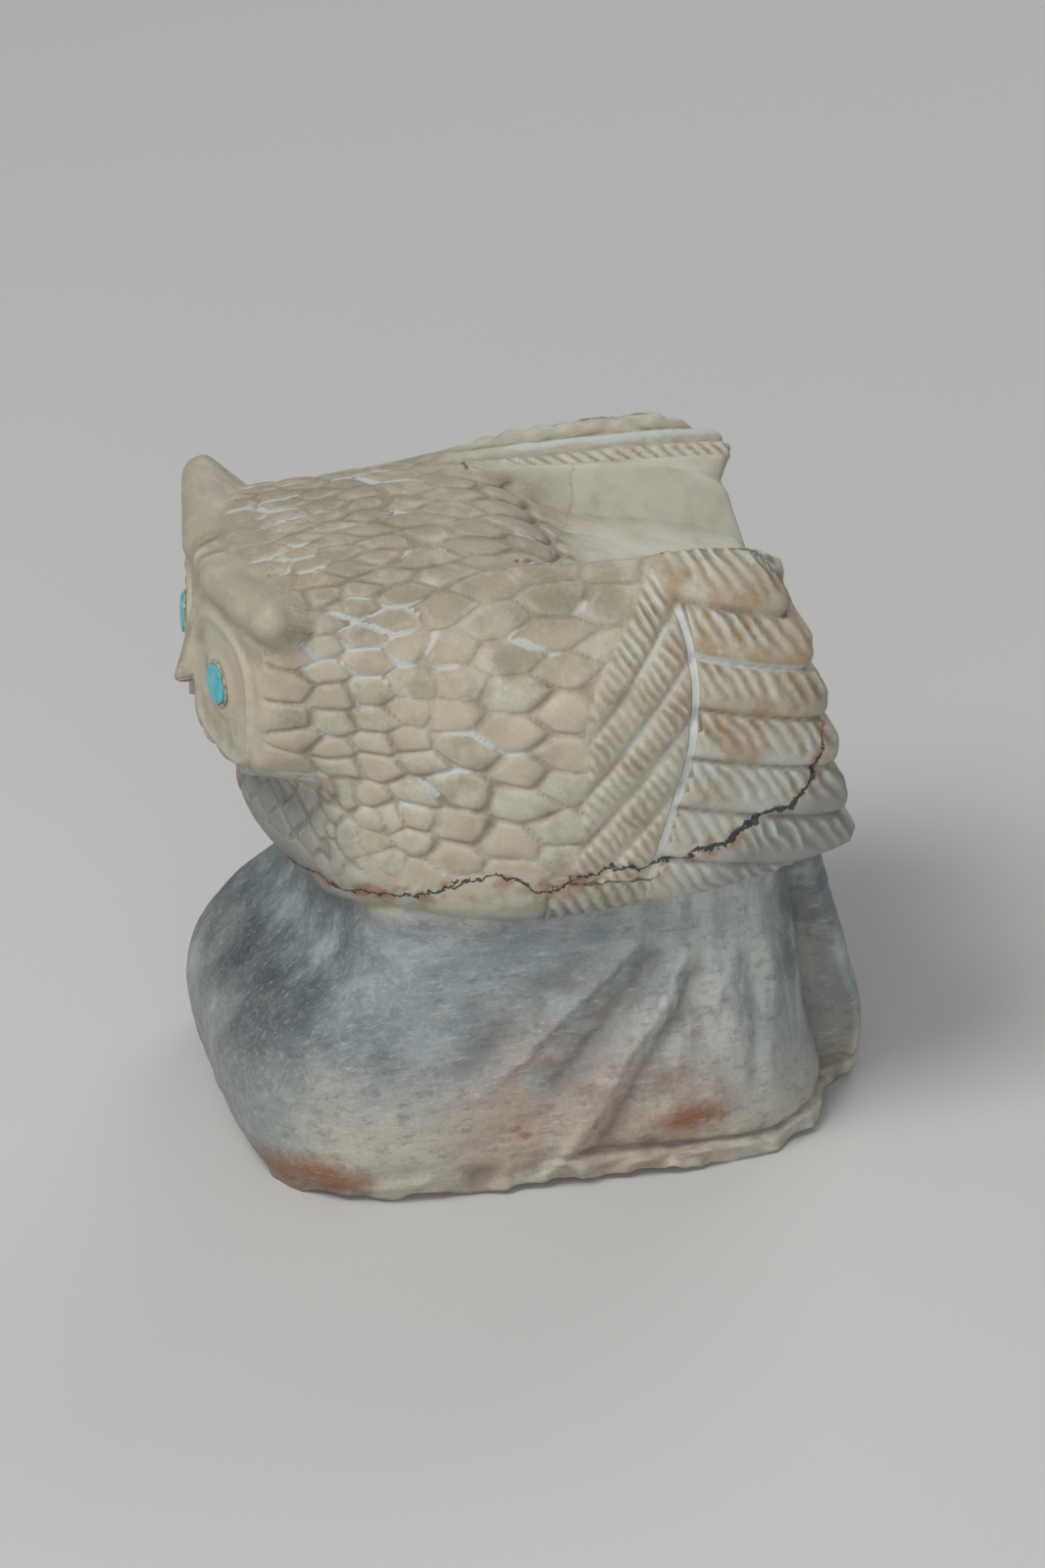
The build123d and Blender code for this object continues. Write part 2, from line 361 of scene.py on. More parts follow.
def scale_centres():
    """Centres, lengths, heights and flow of the scales: staggered rings round head and body, where each
    scale keeps an equal share of the ring's length and the head's small scales grow to the shoulder, and
    rows of tiles on the breast."""
    chance = np.random.default_rng(7)
    found, ring_place, ring_number = [], FIRST_RING, 0
    while ring_place < LAST_RING:
        length = np.interp(ring_place, [-20.0, -8.0, 1.0], [4.0, 5.6, 7.2])
        count = HEAD_SCALES_ROUND if ring_place < SHOULDER else BODY_SCALES_ROUND
        angle = np.radians(np.linspace(-38.0, 218.0, 300))
        directions = np.stack([np.cos(angle), 0 * angle, np.sin(angle)], -1)
        origins = np.zeros((300, 3)) + [0.0, ring_place, 36.0]
        ring = cast(owl_form, origins, directions, 30)
        walked = np.concatenate([[0.0], np.cumsum(np.linalg.norm(np.diff(ring, axis=0), axis=1))])
        height = walked[-1] / count
        steps = np.arange(count) + 0.5 * (ring_number % 2) + chance.uniform(-0.2, 0.2, count)
        places = np.stack([np.interp(steps * height, walked, ring[:, i]) for i in range(3)], -1)
        places[:, 1] += chance.uniform(-0.17, 0.17, count) * length
        fall = 0.2 * smooth_step(-places[:, 2], -46.0, -42.0)
        stretch = chance.uniform(0.88, 1.14, count)
        found.append(np.column_stack([
            places, length * stretch, 1.15 * height * stretch ** -0.5, np.cos(fall), np.sin(fall),
            chance.uniform(0, 1, count)]))
        ring_place += RING_OVERLAP * length
        ring_number += 1

    # The breast, under the chin: rows that hang down and overlap like tiles.
    for row_number, row_height in enumerate(np.arange(BREAST_TOP, BREAST_BOTTOM, -TILE_DROP)):
        across = np.arange(-BREAST_HALF_WIDTH, BREAST_HALF_WIDTH + 0.1, TILE_WIDTH)
        across = across + 0.5 * TILE_WIDTH * (row_number % 2)
        count = len(across)
        across = across + chance.uniform(-0.2, 0.2, count)
        origins = np.column_stack([across, 0 * across - 6.0, 0 * across + row_height])
        places = cast(owl_form, origins, np.zeros((count, 3)) + [0.0, -1.0, 0.0], 30)
        found.append(np.column_stack([
            places, np.full(count, TILE_LENGTH), np.full(count, TILE_HEIGHT), np.full(count, 0.15),
            np.full(count, 0.99), chance.uniform(0, 0.5, count)]))
    return np.concatenate(found)


def scale_places(points, scales):
    """For each point: how much nearer the nearest scale's centre is than the second's, counted in half
    lengths, how far back and down in the scale the point lies, and the scale's own chance."""
    nearest = np.full(points.shape[:-1], 9.0)
    second, back, down, chance = nearest.copy(), 0 * nearest, 0 * nearest, 0 * nearest
    for x, y, z, length, height, flow_back, flow_down, luck in scales:
        offset = points - np.array([x, y, z])
        along = offset[..., 1] * flow_back - offset[..., 2] * flow_down
        across = np.sqrt(np.maximum((offset ** 2).sum(-1) - along ** 2, 0)) / (height / 2)
        along = along / (length / 2)
        reach = np.sqrt(along ** 2 + across ** 2)
        closer = reach < nearest
        second = np.where(closer, nearest, np.minimum(second, reach))
        nearest = np.where(closer, reach, nearest)
        back = np.where(closer, along, back)
        down = np.where(closer, -offset[..., 2] / (height / 2), down)
        chance = np.where(closer, luck, chance)
    return second - nearest, back, down, chance


def groove(distance, width):
    """1 on a line and falling to 0 about two widths from it."""
    return np.exp(-(distance / width) ** 2)


RIDGE_SIDE, RIDGE_TOP = 13.2, 50.0
BAND_TOP = 26.5
COVERT_SPACING = 4.0
TAIL_FEATHER_WIDTH = 2.7


def crest_distance(points):
    """Distance inward and down from the crest of a wing's top ridge, on both sides alike."""
    near = points[..., 0] > 0
    return (RIDGE_SIDE - np.abs(points[..., 0])) + (RIDGE_TOP - NEAR_RIDGE_DROP * near - points[..., 2])


def carved_regions(points):
    """Where each kind of carving lies, as shares from 0 to 1 under the kind's own name."""
    x, y, z = points[..., 0], points[..., 1], points[..., 2]
    side = np.abs(x)
    crest = crest_distance(points)
    over_crest = 2.6 * (x > 0)
    inside_crest = smooth_step(z, 45.6, 46.6) * smooth_step(crest, 0.3 + over_crest, 1.2 + over_crest)
    on_side = smooth_step(side, 8.6, 10.4) * (1 - inside_crest)
    flight = smooth_step(y - shaft_line(z), 0.1, 0.45) * on_side
    under_band = smooth_step(26.6 - z, 0.0, 0.5) * smooth_step(y, -1.8, -0.8) * on_side * (1 - flight)
    covert = smooth_step(y - covert_front(z), 0.0, 0.5) * on_side * (1 - flight) * (1 - under_band)
    rump = smooth_step(y, 17.0, 18.4) * (1 - smooth_step(side, 7.8, 8.8)) * (1 - smooth_step(z, 40.0, 42.0))
    wing_top = smooth_step(y, -3.0, 0.5) * smooth_step(side, 7.0, 7.8) * smooth_step(z, 44.6, 45.6)
    wing_top = wing_top * (1 - on_side)
    valley = (smooth_step(y, 3.5, 9.5) * (1 - smooth_step(side, 8.0, 9.4))
              * smooth_step(z, 37.5, 40.5) * (1 - rump))
    belly = (1 - smooth_step(z, 24.6, 27.2)) * (1 - flight) * (1 - under_band)
    mirrored = np.stack([side, y, z], -1)
    out_of_face, rim = on_face(mirrored)
    disc = 1 - smooth_step(-out_of_face, 0.3, 0.9)
    tuft = tapered_rod(mirrored, TUFT_ROOT, TUFT_TIP, TUFT_ROOT_RADIUS, TUFT_TIP_RADIUS)
    tuft = 1 - smooth_step(tuft, 0.3, 0.9)
    brow = (1 - smooth_step(y, -22.6, -21.4)) * (1 - disc) * (1 - tuft)
    disc_rim = groove(rim - 0.97, 0.06) * (1 - smooth_step(-out_of_face, 0.6, 1.4))
    plain = np.clip(flight + under_band + covert + rump + wing_top + valley + belly + disc
                    + tuft + brow, 0, 1)
    return {"on_side": on_side, "flight": flight, "under_band": under_band, "covert": covert, "rump": rump,
            "wing_top": wing_top, "valley": valley, "disc": disc, "tuft": tuft, "brow": brow,
            "disc_rim": disc_rim, "scaly": 1 - plain}


def carve_scales(points, scaly, rough, patch):
    """Scales: a low pillow that rises to its rear edge, in a groove that is deepest behind and below.
    Gives height, whitened, darkened and polished shares, and the lead over the next scale."""
    y, z = points[..., 1], points[..., 2]
    lead, back, down, luck = scale_places(points, scale_centres())
    kept = 0.35 + 0.65 * smooth_step(value_noise(points, 5.0, 71), -0.45, 0.25)
    level_edge = 1 - smooth_step(np.abs(back), 0.45, 0.85)
    on_back = smooth_step(z, 45.2, 46.6)
    rear_edge = smooth_step(back + 0.6 * down, 0.1, 0.8)
    edge_share = (0.35 + 0.65 * rear_edge) * (1 - 0.75 * on_back * (1 - level_edge))
    scale_groove = groove(lead, 0.27 + 0.06 * rough) * edge_share
    pillow = smooth_step(lead, 0.0, 0.9)
    growth = np.interp(y, [-20.0, 0.0], [0.65, 1.0])
    height = growth * kept * (0.17 * pillow + 0.17 * back * (1 - on_back) - 0.34 * scale_groove)
    polished = scaly * smooth_step(luck, 0.45, 0.6) * smooth_step(lead, 0.25, 0.4) * (1 - on_back)
    height = height - 0.07 * polished * pillow
    head_share = (1 - smooth_step(y, -12.0, -2.0)) * smooth_step(z, 32.0, 35.0)
    dash = value_noise(points * np.array([1.0, 0.6, 1.0]), 1.7, 13)
    on_breast = (1 - smooth_step(z, 31.0, 34.0)) * (y < -14.0)
    white_gate = smooth_step(
        0.5 * patch + 0.9 * dash + 0.3 * head_share - 0.15 * (luck > 0.5) - 0.5 * on_breast, 0.0, 0.7)
    whitened = scaly * groove(lead, 0.33) * white_gate * np.maximum(level_edge, 0.35 * rear_edge) * 1.1
    darkened = scaly * scale_groove * (1 - white_gate) * 0.4
    return height, whitened, darkened, polished, lead + 2.0 * (1 - scaly) + 0.25 * (1 - kept)


def carve_flight(points, flight, off_shaft, rough, fine):
    """Flight feathers: each row swells, tucks under the one above and ends in a groove. Gives height,
    whitened and darkened shares, the share of the row, and the barbs' phase and depth."""
    y, z = points[..., 1], points[..., 2]
    row = feather_row(y, z)
    share = row - np.floor(row)
    row_edge = np.minimum(share, 1 - share) * 4.0
    barbed = smooth_step(share, 0.04, 0.12) * (1 - smooth_step(share + 0.15 * rough, 0.5, 0.84))
    barbed = barbed * (0.75 + 0.5 * rough)
    row_shift = np.sin(np.floor(row) * 2.4) * 0.5
    phase = (y + 0.577 * z) / 1.17 + row_shift + 0.2 * fine + 0.3 * rough
    height = 0.17 * 4 * share * (1 - share) + 0.24 * (share - 0.5) - 0.34 * groove(row_edge, 0.26)
    height = height + 0.12 * np.sin(2 * math.pi * phase) * barbed * off_shaft
    whitened = flight * groove(row - 1.0, 0.085)
    darkened = flight * groove(row_edge, 0.16) * (1 - groove(row - 1.0, 0.3)) * 0.9
    return height, whitened, darkened, share, phase, barbed * flight * off_shaft


def carve_coverts(points, covert, off_shaft, rough, fine):
    """Coverts: short diagonal rows of barbs in front of the shaft, with three bold white cuts. Gives
    height, whitened and darkened shares, and the barbs' phase and depth."""
    y, z = points[..., 1], points[..., 2]
    row = -(z - 1.15 * y) / COVERT_SPACING
    share = row - np.floor(row)
    row_edge = np.minimum(share, 1 - share) * 2.6
    phase = (y + 0.8 * z) / 1.02 + 0.37 * np.floor(row) + 0.2 * fine + 0.3 * rough
    barbed = smooth_step(share, 0.08, 0.2) * (1 - smooth_step(share, 0.7, 0.92))
    height = (0.12 * 4 * share * (1 - share) - 0.28 * groove(row_edge, 0.25)
              + 0.13 * np.sin(2 * math.pi * phase) * barbed * off_shaft)
    near_shaft = smooth_step(y - covert_front(z), 1.6, 3.4) * (1 - smooth_step(z, 45.2, 46.4))
    cut = groove(row_edge, 0.20)
    whitened = covert * cut * near_shaft * smooth_step(z, 34.0, 36.0)
    darkened = covert * cut * (1 - near_shaft) * 0.7
    return height, whitened, darkened, phase, covert * barbed * off_shaft * (0.7 + 0.4 * rough)


def carve_wing_top(points, wing_top):
    """The wing's inner top: bumps, a groove, a raised white stripe, a groove, barbs and a plain ledge.
    Gives height, whitened and darkened shares, and the barbs' phase and depth."""
    y, crest = points[..., 1], crest_distance(points)
    bumps = 0.30 * np.abs(np.sin(math.pi * y / 2.3)) * (1 - smooth_step(crest, 1.6, 2.2))
    stripe = smooth_step(crest, 2.9, 3.1) * (1 - smooth_step(crest, 3.8, 4.0)) * smooth_step(y, 1.0, 4.0)
    barbed = smooth_step(crest, 4.7, 5.0) * (1 - smooth_step(crest, 6.2, 6.6))
    phase = (y + 1.1 * np.abs(points[..., 0])) / 1.25
    ledge = smooth_step(crest, 6.4, 6.8) * (1 - smooth_step(crest, 8.6, 9.4))
    height = (bumps + 0.16 * stripe - 0.34 * groove(crest - 2.5, 0.3) - 0.30 * groove(crest - 4.4, 0.25)
              + 0.20 * np.sin(2 * math.pi * phase) * barbed + 0.3 * ledge)
    darkened = wing_top * (groove(crest - 2.5, 0.25) + 0.6 * groove(crest - 4.4, 0.2))
    return height, wing_top * stripe * 0.9, darkened, phase, 0.8 * wing_top * barbed


def carve_brow(points, brow, rough, fine):
    """The brow: fine strokes that run out from the beak's root. Gives height, whitened and darkened."""
    stroke = np.sin(np.arctan2(points[..., 2] - 42.0, np.abs(points[..., 0]) + 2.0) * 26.0 + 0.6 * rough)
    whitened = brow * smooth_step(stroke, 0.5, 1.0) * (0.45 + 0.3 * rough)
    darkened = brow * smooth_step(-stroke, 0.4, 1.0) * 0.5
    return 0.20 * stroke + 0.04 * fine, whitened, darkened


def carve_rump(points, rump):
    """The rump under the wing tips: long tail feathers in their own grooves. Gives height, darkened."""
    feather = points[..., 0] / TAIL_FEATHER_WIDTH
    edge = np.abs(feather - np.round(feather)) * TAIL_FEATHER_WIDTH
    barbs = 0.10 * np.sin(2 * math.pi * (points[..., 2] * 0.9 + edge) / 1.4) * smooth_step(edge, 0.3, 0.6)
    return barbs - 0.30 * groove(edge, 0.28), rump * groove(edge, 0.22) * 0.8


def carve(points):
    """Height of the carving over the smooth form in millimetres, and what the finish reads: whitened,
    darkened and polished shares; the barbs' phase, row share and depth; distances from the shaft and the
    vein with the shaft's reach; and the lead over the next scale, pale edges and smooth tops."""
    x, y, z = points[..., 0], points[..., 1], points[..., 2]
    side = np.abs(x)
    rough = value_noise(points, 2.6, 3)
    fine = value_noise(points, 1.1, 5)
    patch = value_noise(points, 3.4, 11)
    region = carved_regions(points)
    shaft = y - shaft_line(z)
    off_shaft = smooth_step(np.abs(shaft), 0.3, 0.75)
    scale_height, scale_white, scale_dark, polished, lead = carve_scales(
        points, region["scaly"], rough, patch)
    row_height, row_white, row_dark, row_share, row_phase, row_depth = carve_flight(
        points, region["flight"], off_shaft, rough, fine)
    covert_height, covert_white, covert_dark, covert_phase, covert_depth = carve_coverts(
        points, region["covert"], off_shaft, rough, fine)
    top_height, top_white, top_dark, top_phase, top_depth = carve_wing_top(points, region["wing_top"])
    brow_height, brow_white, brow_dark = carve_brow(points, region["brow"], rough, fine)
    rump_height, rump_dark = carve_rump(points, region["rump"])

    # The lowest band of barbs, along the wing's bottom edge.
    band_phase = (y + 0.5 * z) / 1.12 + 0.12 * fine
    band_height = 0.18 * np.sin(2 * math.pi * band_phase) - 0.3 * groove(z - BAND_TOP, 0.3)

    # The shaft is a cut line, filled white, from the wing's top to the vein.
    shaft_reach = region["on_side"] * smooth_step(z, 25.5, 29.0) * (1 - smooth_step(z, 46.2, 47.0))
    shaft_height = -0.24 * groove(shaft, 0.30) * shaft_reach

    # Long ripples on the back, which fade out in the valley between the wings.
    valley_height = 0.05 * value_noise(points * np.array([1.0, 0.5, 1.0]), 2.0, 17)

    height = (region["scaly"] * scale_height + region["flight"] * row_height
              + region["covert"] * covert_height + region["under_band"] * band_height
              + region["wing_top"] * top_height + region["brow"] * brow_height
              + region["tuft"] * 0.05 * fine + region["rump"] * rump_height
              + region["valley"] * valley_height + shaft_height
              + (0.035 * fine + 0.05 * rough) * (1 - region["disc"]))
    whitened = np.clip(scale_white + row_white + covert_white + top_white + brow_white, 0, 1)
    darkened = np.clip(scale_dark + row_dark + covert_dark + top_dark + brow_dark + rump_dark, 0, 1)
    phase = np.where(region["under_band"] > 0.5, band_phase, covert_phase)
    phase = np.where(region["flight"] > 0.5, row_phase, phase)
    phase = np.where(region["wing_top"] > 0.5, top_phase, phase)
    depth = row_depth + top_depth + covert_depth + region["under_band"] * (0.8 + 0.4 * rough)
    vein = off_vein_line(x, y, z) + 9.0 * (1 - smooth_step(side, 7.0, 9.0)) * smooth_step(y, 16.0, 18.0)
    pale_edge = np.maximum(0.5 * region["tuft"], region["disc_rim"])
    smooth_top = np.clip(0.65 * region["wing_top"] + region["valley"], 0, 1)
    return height, {
        "carving": np.stack([whitened, darkened, polished], -1),
        "barbs": np.stack([phase, row_share, np.clip(depth, 0, 1)], -1),
        "lines": np.stack([shaft, vein, shaft_reach], -1),
        "regions": np.stack([lead, pale_edge, smooth_top], -1)}


owl_normals = outward_normals(owl_points)
carved_height, owl_attributes = carve(owl_points)
owl_points = owl_points + owl_normals * carved_height[..., None]
owl = closed_mesh("carved_owl", owl_points, owl_attributes)
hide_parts("carved_stone")
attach(owl, "root")


def add_node(tree, kind, inputs=None, **settings):
    """Adds a shader node, makes its settings, and links or sets each input by its name or number."""
    made = tree.nodes.new(kind)
    for key, value in settings.items():
        setattr(made, key, value)
    for key, value in (inputs or {}).items():
        if isinstance(value, bpy.types.NodeSocket):
            tree.links.new(value, made.inputs[key])
        else:
            made.inputs[key].default_value = value
    return made


def maths(tree, operation, first, second=0.0, third=0.0):
    """The result of one arithmetic step on numbers or sockets."""
    return add_node(tree, "ShaderNodeMath", {0: first, 1: second, 2: third}, operation=operation).outputs[0]


def ramp(tree, value, low, high, to_low=0.0, to_high=1.0):
    """An S-curve from one number to another as the value goes from low to high."""
    return add_node(
        tree, "ShaderNodeMapRange",
        {"Value": value, "From Min": low, "From Max": high, "To Min": to_low, "To Max": to_high},
        interpolation_type="SMOOTHSTEP").outputs[0]


def noise(tree, place, size, detail, stretch=(1.0, 1.0, 1.0), shift=(0.0, 0.0, 0.0), roughness=0.5):
    """Noise from 0 to 1 with features of this size in millimetres, longer where stretch is under 1."""
    scaled = add_node(
        tree, "ShaderNodeVectorMath", {0: place, 1: stretch, 2: shift}, operation="MULTIPLY_ADD")
    inputs = {"Vector": scaled.outputs[0], "Scale": 1.0 / size, "Detail": detail, "Roughness": roughness}
    return add_node(tree, "ShaderNodeTexNoise", inputs).outputs[0]


def tint(tree, share, first, second):
    """A colour that goes from the first to the second as the share goes from 0 to 1."""
    made = add_node(tree, "ShaderNodeMix", data_type="RGBA")
    for number, value in ((0, share), (6, first), (7, second)):
        if isinstance(value, bpy.types.NodeSocket):
            tree.links.new(value, made.inputs[number])
        else:
            made.inputs[number].default_value = value if number == 0 else (*value, 1.0)
    return made.outputs[2]


def both(tree, *shares):
    """The product of several shares."""
    total = shares[0]
    for share in shares[1:]:
        total = maths(tree, "MULTIPLY", total, share)
    return total


TAN, CREAM, PALE = (0.300, 0.268, 0.183), (0.412, 0.384, 0.292), (0.485, 0.468, 0.385)
DARK_TAN, FROST, VALLEY_PALE = (0.235, 0.205, 0.145), (0.465, 0.485, 0.445), (0.468, 0.466, 0.382)
PINK, OCHRE, REAR_GREY = (0.425, 0.345, 0.25), (0.33, 0.222, 0.122), (0.205, 0.215, 0.200)
WASH_BROWN, DEEP_BLUE = (0.225, 0.165, 0.125), (0.022, 0.038, 0.050)
DARK_BLUE, MID_BLUE, LIGHT_BLUE = (0.062, 0.088, 0.103), (0.185, 0.222, 0.232), (0.31, 0.345, 0.35)
SAND, BLUSH, RUST = (0.43, 0.405, 0.335), (0.40, 0.30, 0.235), (0.245, 0.098, 0.036)

SPECK_DARK, SPECK_PALE = (0.12, 0.11, 0.09), (0.62, 0.61, 0.57)
RUST_SPOTS = [(10.3, 4.6, 2.9), (-19.5, 1.8, 5.2), (-3.5, 5.4, 1.1)]
RUST_SIDE, RUST_SQUASH = 17.0, (0.35, 0.8, 1.5)


def banded_stone_group():
    """Colour, grain height and gloss of the stone at a place in millimetres: warm tan and cream in the
    owl, grey below the vein at the rear, and blue-grey over sand and blush bands in the rock."""
    group = bpy.data.node_groups.new("banded_stone", "ShaderNodeTree")
    group.interface.new_socket("Place", in_out="INPUT", socket_type="NodeSocketVector")
    group.interface.new_socket("Color", in_out="OUTPUT", socket_type="NodeSocketColor")
    group.interface.new_socket("Height", in_out="OUTPUT", socket_type="NodeSocketFloat")
    group.interface.new_socket("Roughness", in_out="OUTPUT", socket_type="NodeSocketFloat")
    place = group.nodes.new("NodeGroupInput").outputs["Place"]
    axes = add_node(group, "ShaderNodeSeparateXYZ", {0: place})
    y, z = axes.outputs[1], axes.outputs[2]
    wide = noise(group, place, 11.0, 3.0)
    middle = noise(group, place, 4.5, 4.0, shift=(3.1, 7.7, 1.3))
    small = noise(group, place, 1.6, 4.0, shift=(9.1, 2.7, 5.3), roughness=0.6)
    speck = noise(group, place, 0.28, 2.0, roughness=0.7)
    streak = noise(group, place, 3.6, 6.0, stretch=(1.0, 0.5, 0.9), roughness=0.7)
    wavy_z = maths(group, "MULTIPLY_ADD", maths(group, "SUBTRACT", wide, 0.5), 9.0, z)
    ripple = maths(group, "MULTIPLY_ADD", maths(group, "SUBTRACT", middle, 0.5), 5.0, wavy_z)

    # The owl: tan on the head and back, cream down the sides, pink and ochre clouds.
    warm = tint(group, ramp(group, middle, 0.36, 0.58), TAN, CREAM)
    smudge = ramp(group, noise(group, place, 3.2, 4.0, shift=(2.9, 8.1, 6.6), roughness=0.6), 0.50, 0.66)
    warm = tint(group, both(group, smudge, 0.62), warm, DARK_TAN)
    warm = tint(group, both(group, ramp(group, small, 0.5, 0.72), 0.55), warm, PALE)
    pink_cloud = ramp(group, noise(group, place, 5.2, 2.0, shift=(1.7, 4.4, 8.8)), 0.5, 0.66)
    warm = tint(group, both(group, pink_cloud, 0.65), warm, PINK)
    lower = ramp(group, ripple, 39.0, 31.0)
    warm = tint(group, both(group, lower, ramp(group, small, 0.3, 0.6), 0.6), warm, PALE)
    on_top = both(
        group, ramp(group, ripple, 44.5, 48.0), ramp(group, y, 8.0, 2.0), ramp(group, small, 0.25, 0.6))
    warm = tint(group, both(group, on_top, 0.65), warm, DARK_TAN)
    at_rear = ramp(group, y, 6.5, 10.0)
    frosty = both(group, at_rear, ramp(group, ripple, 39.5, 34.0), ramp(group, middle, 0.3, 0.6))
    warm = tint(group, both(group, frosty, 0.8), warm, FROST)
    ochre_share = ramp(group, noise(group, place, 2.4, 3.0, shift=(5.7, 1.4, 2.8)), 0.48, 0.64)
    warm = tint(group, both(group, at_rear, ramp(group, ripple, 29.0, 37.0), ochre_share, 0.72), warm, OCHRE)
    shaded_breast = both(group, ramp(group, y, -13.0, -19.0), ramp(group, ripple, 35.0, 30.0), 0.85)
    warm = tint(group, shaded_breast, warm, REAR_GREY)
    rear_line = maths(group, "MULTIPLY_ADD", y, 0.55, maths(group, "MULTIPLY", wavy_z, -1.0))
    grey_rear = both(group, ramp(group, rear_line, -23.0, -19.0), ramp(group, y, 9.0, 14.0))
    warm = tint(group, both(group, grey_rear, 0.72), warm, REAR_GREY)

    # The rock: dark blue-grey in front, partly the stone's own colour and partly painted shade, deepest
    # under the breast; lighter behind, over bands of sand and blush.
    wavy_y = maths(group, "MULTIPLY_ADD", maths(group, "SUBTRACT", middle, 0.5), 10.0, y)
    front = ramp(group, wavy_y, -9.0, -19.0)
    blue = tint(group, ramp(group, streak, 0.35, 0.7), MID_BLUE, LIGHT_BLUE)
    clouded = both(group, ramp(group, middle, 0.40, 0.60), ramp(group, y, 14.0, -2.0), 0.6)
    blue = tint(group, clouded, blue, MID_BLUE)
    blue = tint(group, both(group, ramp(group, y, 6.0, 12.0), 0.7), blue, LIGHT_BLUE)
    # The front's dark blue: partly the stone's own colour, partly painted shade.
    dark_share = both(group, front, ramp(group, ripple, 3.0, 13.0), ramp(group, streak, 0.70, 0.36), 0.92)
    blue = tint(group, dark_share, blue, DARK_BLUE)
    # Near-black at the top of the front, under the overhanging breast: partly the stone's dark blue, partly
    # painted shade.
    shoulder = both(group, ramp(group, y, -16.5, -21.0), ramp(group, ripple, 7.0, 15.0), 0.8)
    blue = tint(group, shoulder, blue, DEEP_BLUE)
    band_line = maths(group, "MULTIPLY_ADD", y, 0.12, ripple)
    sandy = both(group, ramp(group, band_line, 12.5, 3.5), ramp(group, y, -22.5, -16.0, 0.25, 1.0))
    cold = tint(group, sandy, blue, SAND)
    blush_share = both(
        group, ramp(group, y, -13.0, -4.0), ramp(group, y, 16.0, 9.0), ramp(group, ripple, 15.0, 8.0),
        ramp(group, middle, 0.28, 0.52))
    cold = tint(group, both(group, blush_share, 0.85), cold, BLUSH)
    fine_streak = noise(group, place, 0.45, 4.0, stretch=(1.0, 0.22, 0.7), roughness=0.75)
    cold = tint(group, both(group, ramp(group, fine_streak, 0.5, 0.8), 0.45), cold, PALE)

    stain_cloud = noise(group, place, 2.6, 4.0, shift=(6.1, 3.3, 0.7), roughness=0.65)
    wash = both(
        group, ramp(group, stain_cloud, 0.47, 0.64), ramp(group, y, -8.0, 0.0), ramp(group, y, 17.0, 10.0),
        ramp(group, z, 20.0, 14.0))
    cold = tint(group, both(group, wash, 0.5), cold, WASH_BROWN)

    flute = noise(group, place, 2.2, 3.0, stretch=(1.0, 1.0, 0.25), shift=(0.4, 2.2, 7.5), roughness=0.55)
    fluted = both(group, ramp(group, flute, 0.42, 0.58), ramp(group, y, 3.0, 9.0), ramp(group, z, 6.0, 11.0))
    cold = tint(group, both(group, fluted, 0.75), cold, FROST)
    dark_end = both(
        group, ramp(group, y, 16.5, 19.5), ramp(group, z, 11.0, 15.0), ramp(group, streak, 0.70, 0.40))
    cold = tint(group, both(group, dark_end, 0.75), cold, DARK_BLUE)

    # Iron stain: three soft spots on the near side near the foot.
    stained = 0.0
    for spot_y, spot_z, spread in RUST_SPOTS:
        spot = (RUST_SIDE, spot_y, spot_z)
        offset = add_node(group, "ShaderNodeVectorMath", {0: place, 1: spot}, operation="SUBTRACT")
        squashed = add_node(
            group, "ShaderNodeVectorMath", {0: offset.outputs[0], 1: RUST_SQUASH}, operation="MULTIPLY")
        length = add_node(group, "ShaderNodeVectorMath", {0: squashed.outputs[0]}, operation="LENGTH")
        far = length.outputs["Value"]
        far = maths(group, "MULTIPLY_ADD", small, -2.6, maths(group, "ADD", far, 1.3))
        stained = maths(group, "MAXIMUM", ramp(group, far, spread, 0.25 * spread), stained)
    cold = tint(group, both(group, stained, ramp(group, streak, 0.2, 0.5), 0.92), cold, RUST)

    waist = ramp(group, ripple, 20.5, 25.0)
    colour = tint(group, waist, cold, warm)
    colour = tint(group, both(group, ramp(group, speck, 0.35, 0.75), 0.11), colour, SPECK_DARK)
    colour = tint(group, both(group, ramp(group, speck, 0.5, 0.2), 0.12), colour, SPECK_PALE)

    outputs = group.nodes.new("NodeGroupOutput")
    height = maths(group, "MULTIPLY_ADD", small, 0.05, maths(group, "MULTIPLY", speck, 0.018))
    gloss = maths(group, "MULTIPLY_ADD", small, 0.16, maths(group, "MULTIPLY_ADD", speck, 0.10, 0.36))
    group.links.new(colour, outputs.inputs["Color"])
    group.links.new(height, outputs.inputs["Height"])
    group.links.new(gloss, outputs.inputs["Roughness"])
    return group


banded_stone = banded_stone_group()


def stone_place(tree):
    """The place on the figure in millimetres."""
    place = add_node(tree, "ShaderNodeTexCoord").outputs["Object"]
    return add_node(tree, "ShaderNodeVectorMath", {0: place, "Scale": 1000.0}, operation="SCALE").outputs[0]


def carved_values(tree, name):
    """The three numbers of one of the owl's own attributes."""
    read = add_node(tree, "ShaderNodeAttribute", attribute_name=name)
    return add_node(tree, "ShaderNodeSeparateXYZ", {0: read.outputs["Vector"]}).outputs


STONE_SPECULAR = 0.42
CRACK_PLACE, CRACK_SLANT = 4.2, 0.39
# The chalk white serves the chalk left in the cuts and also the painted highlights on the barbs.
CHALK_AND_HIGHLIGHT, GROOVE_BROWN, VEIN_BLACK = (0.465, 0.485, 0.465), (0.125, 0.085, 0.05), (0.022, 0.026, 0.034)


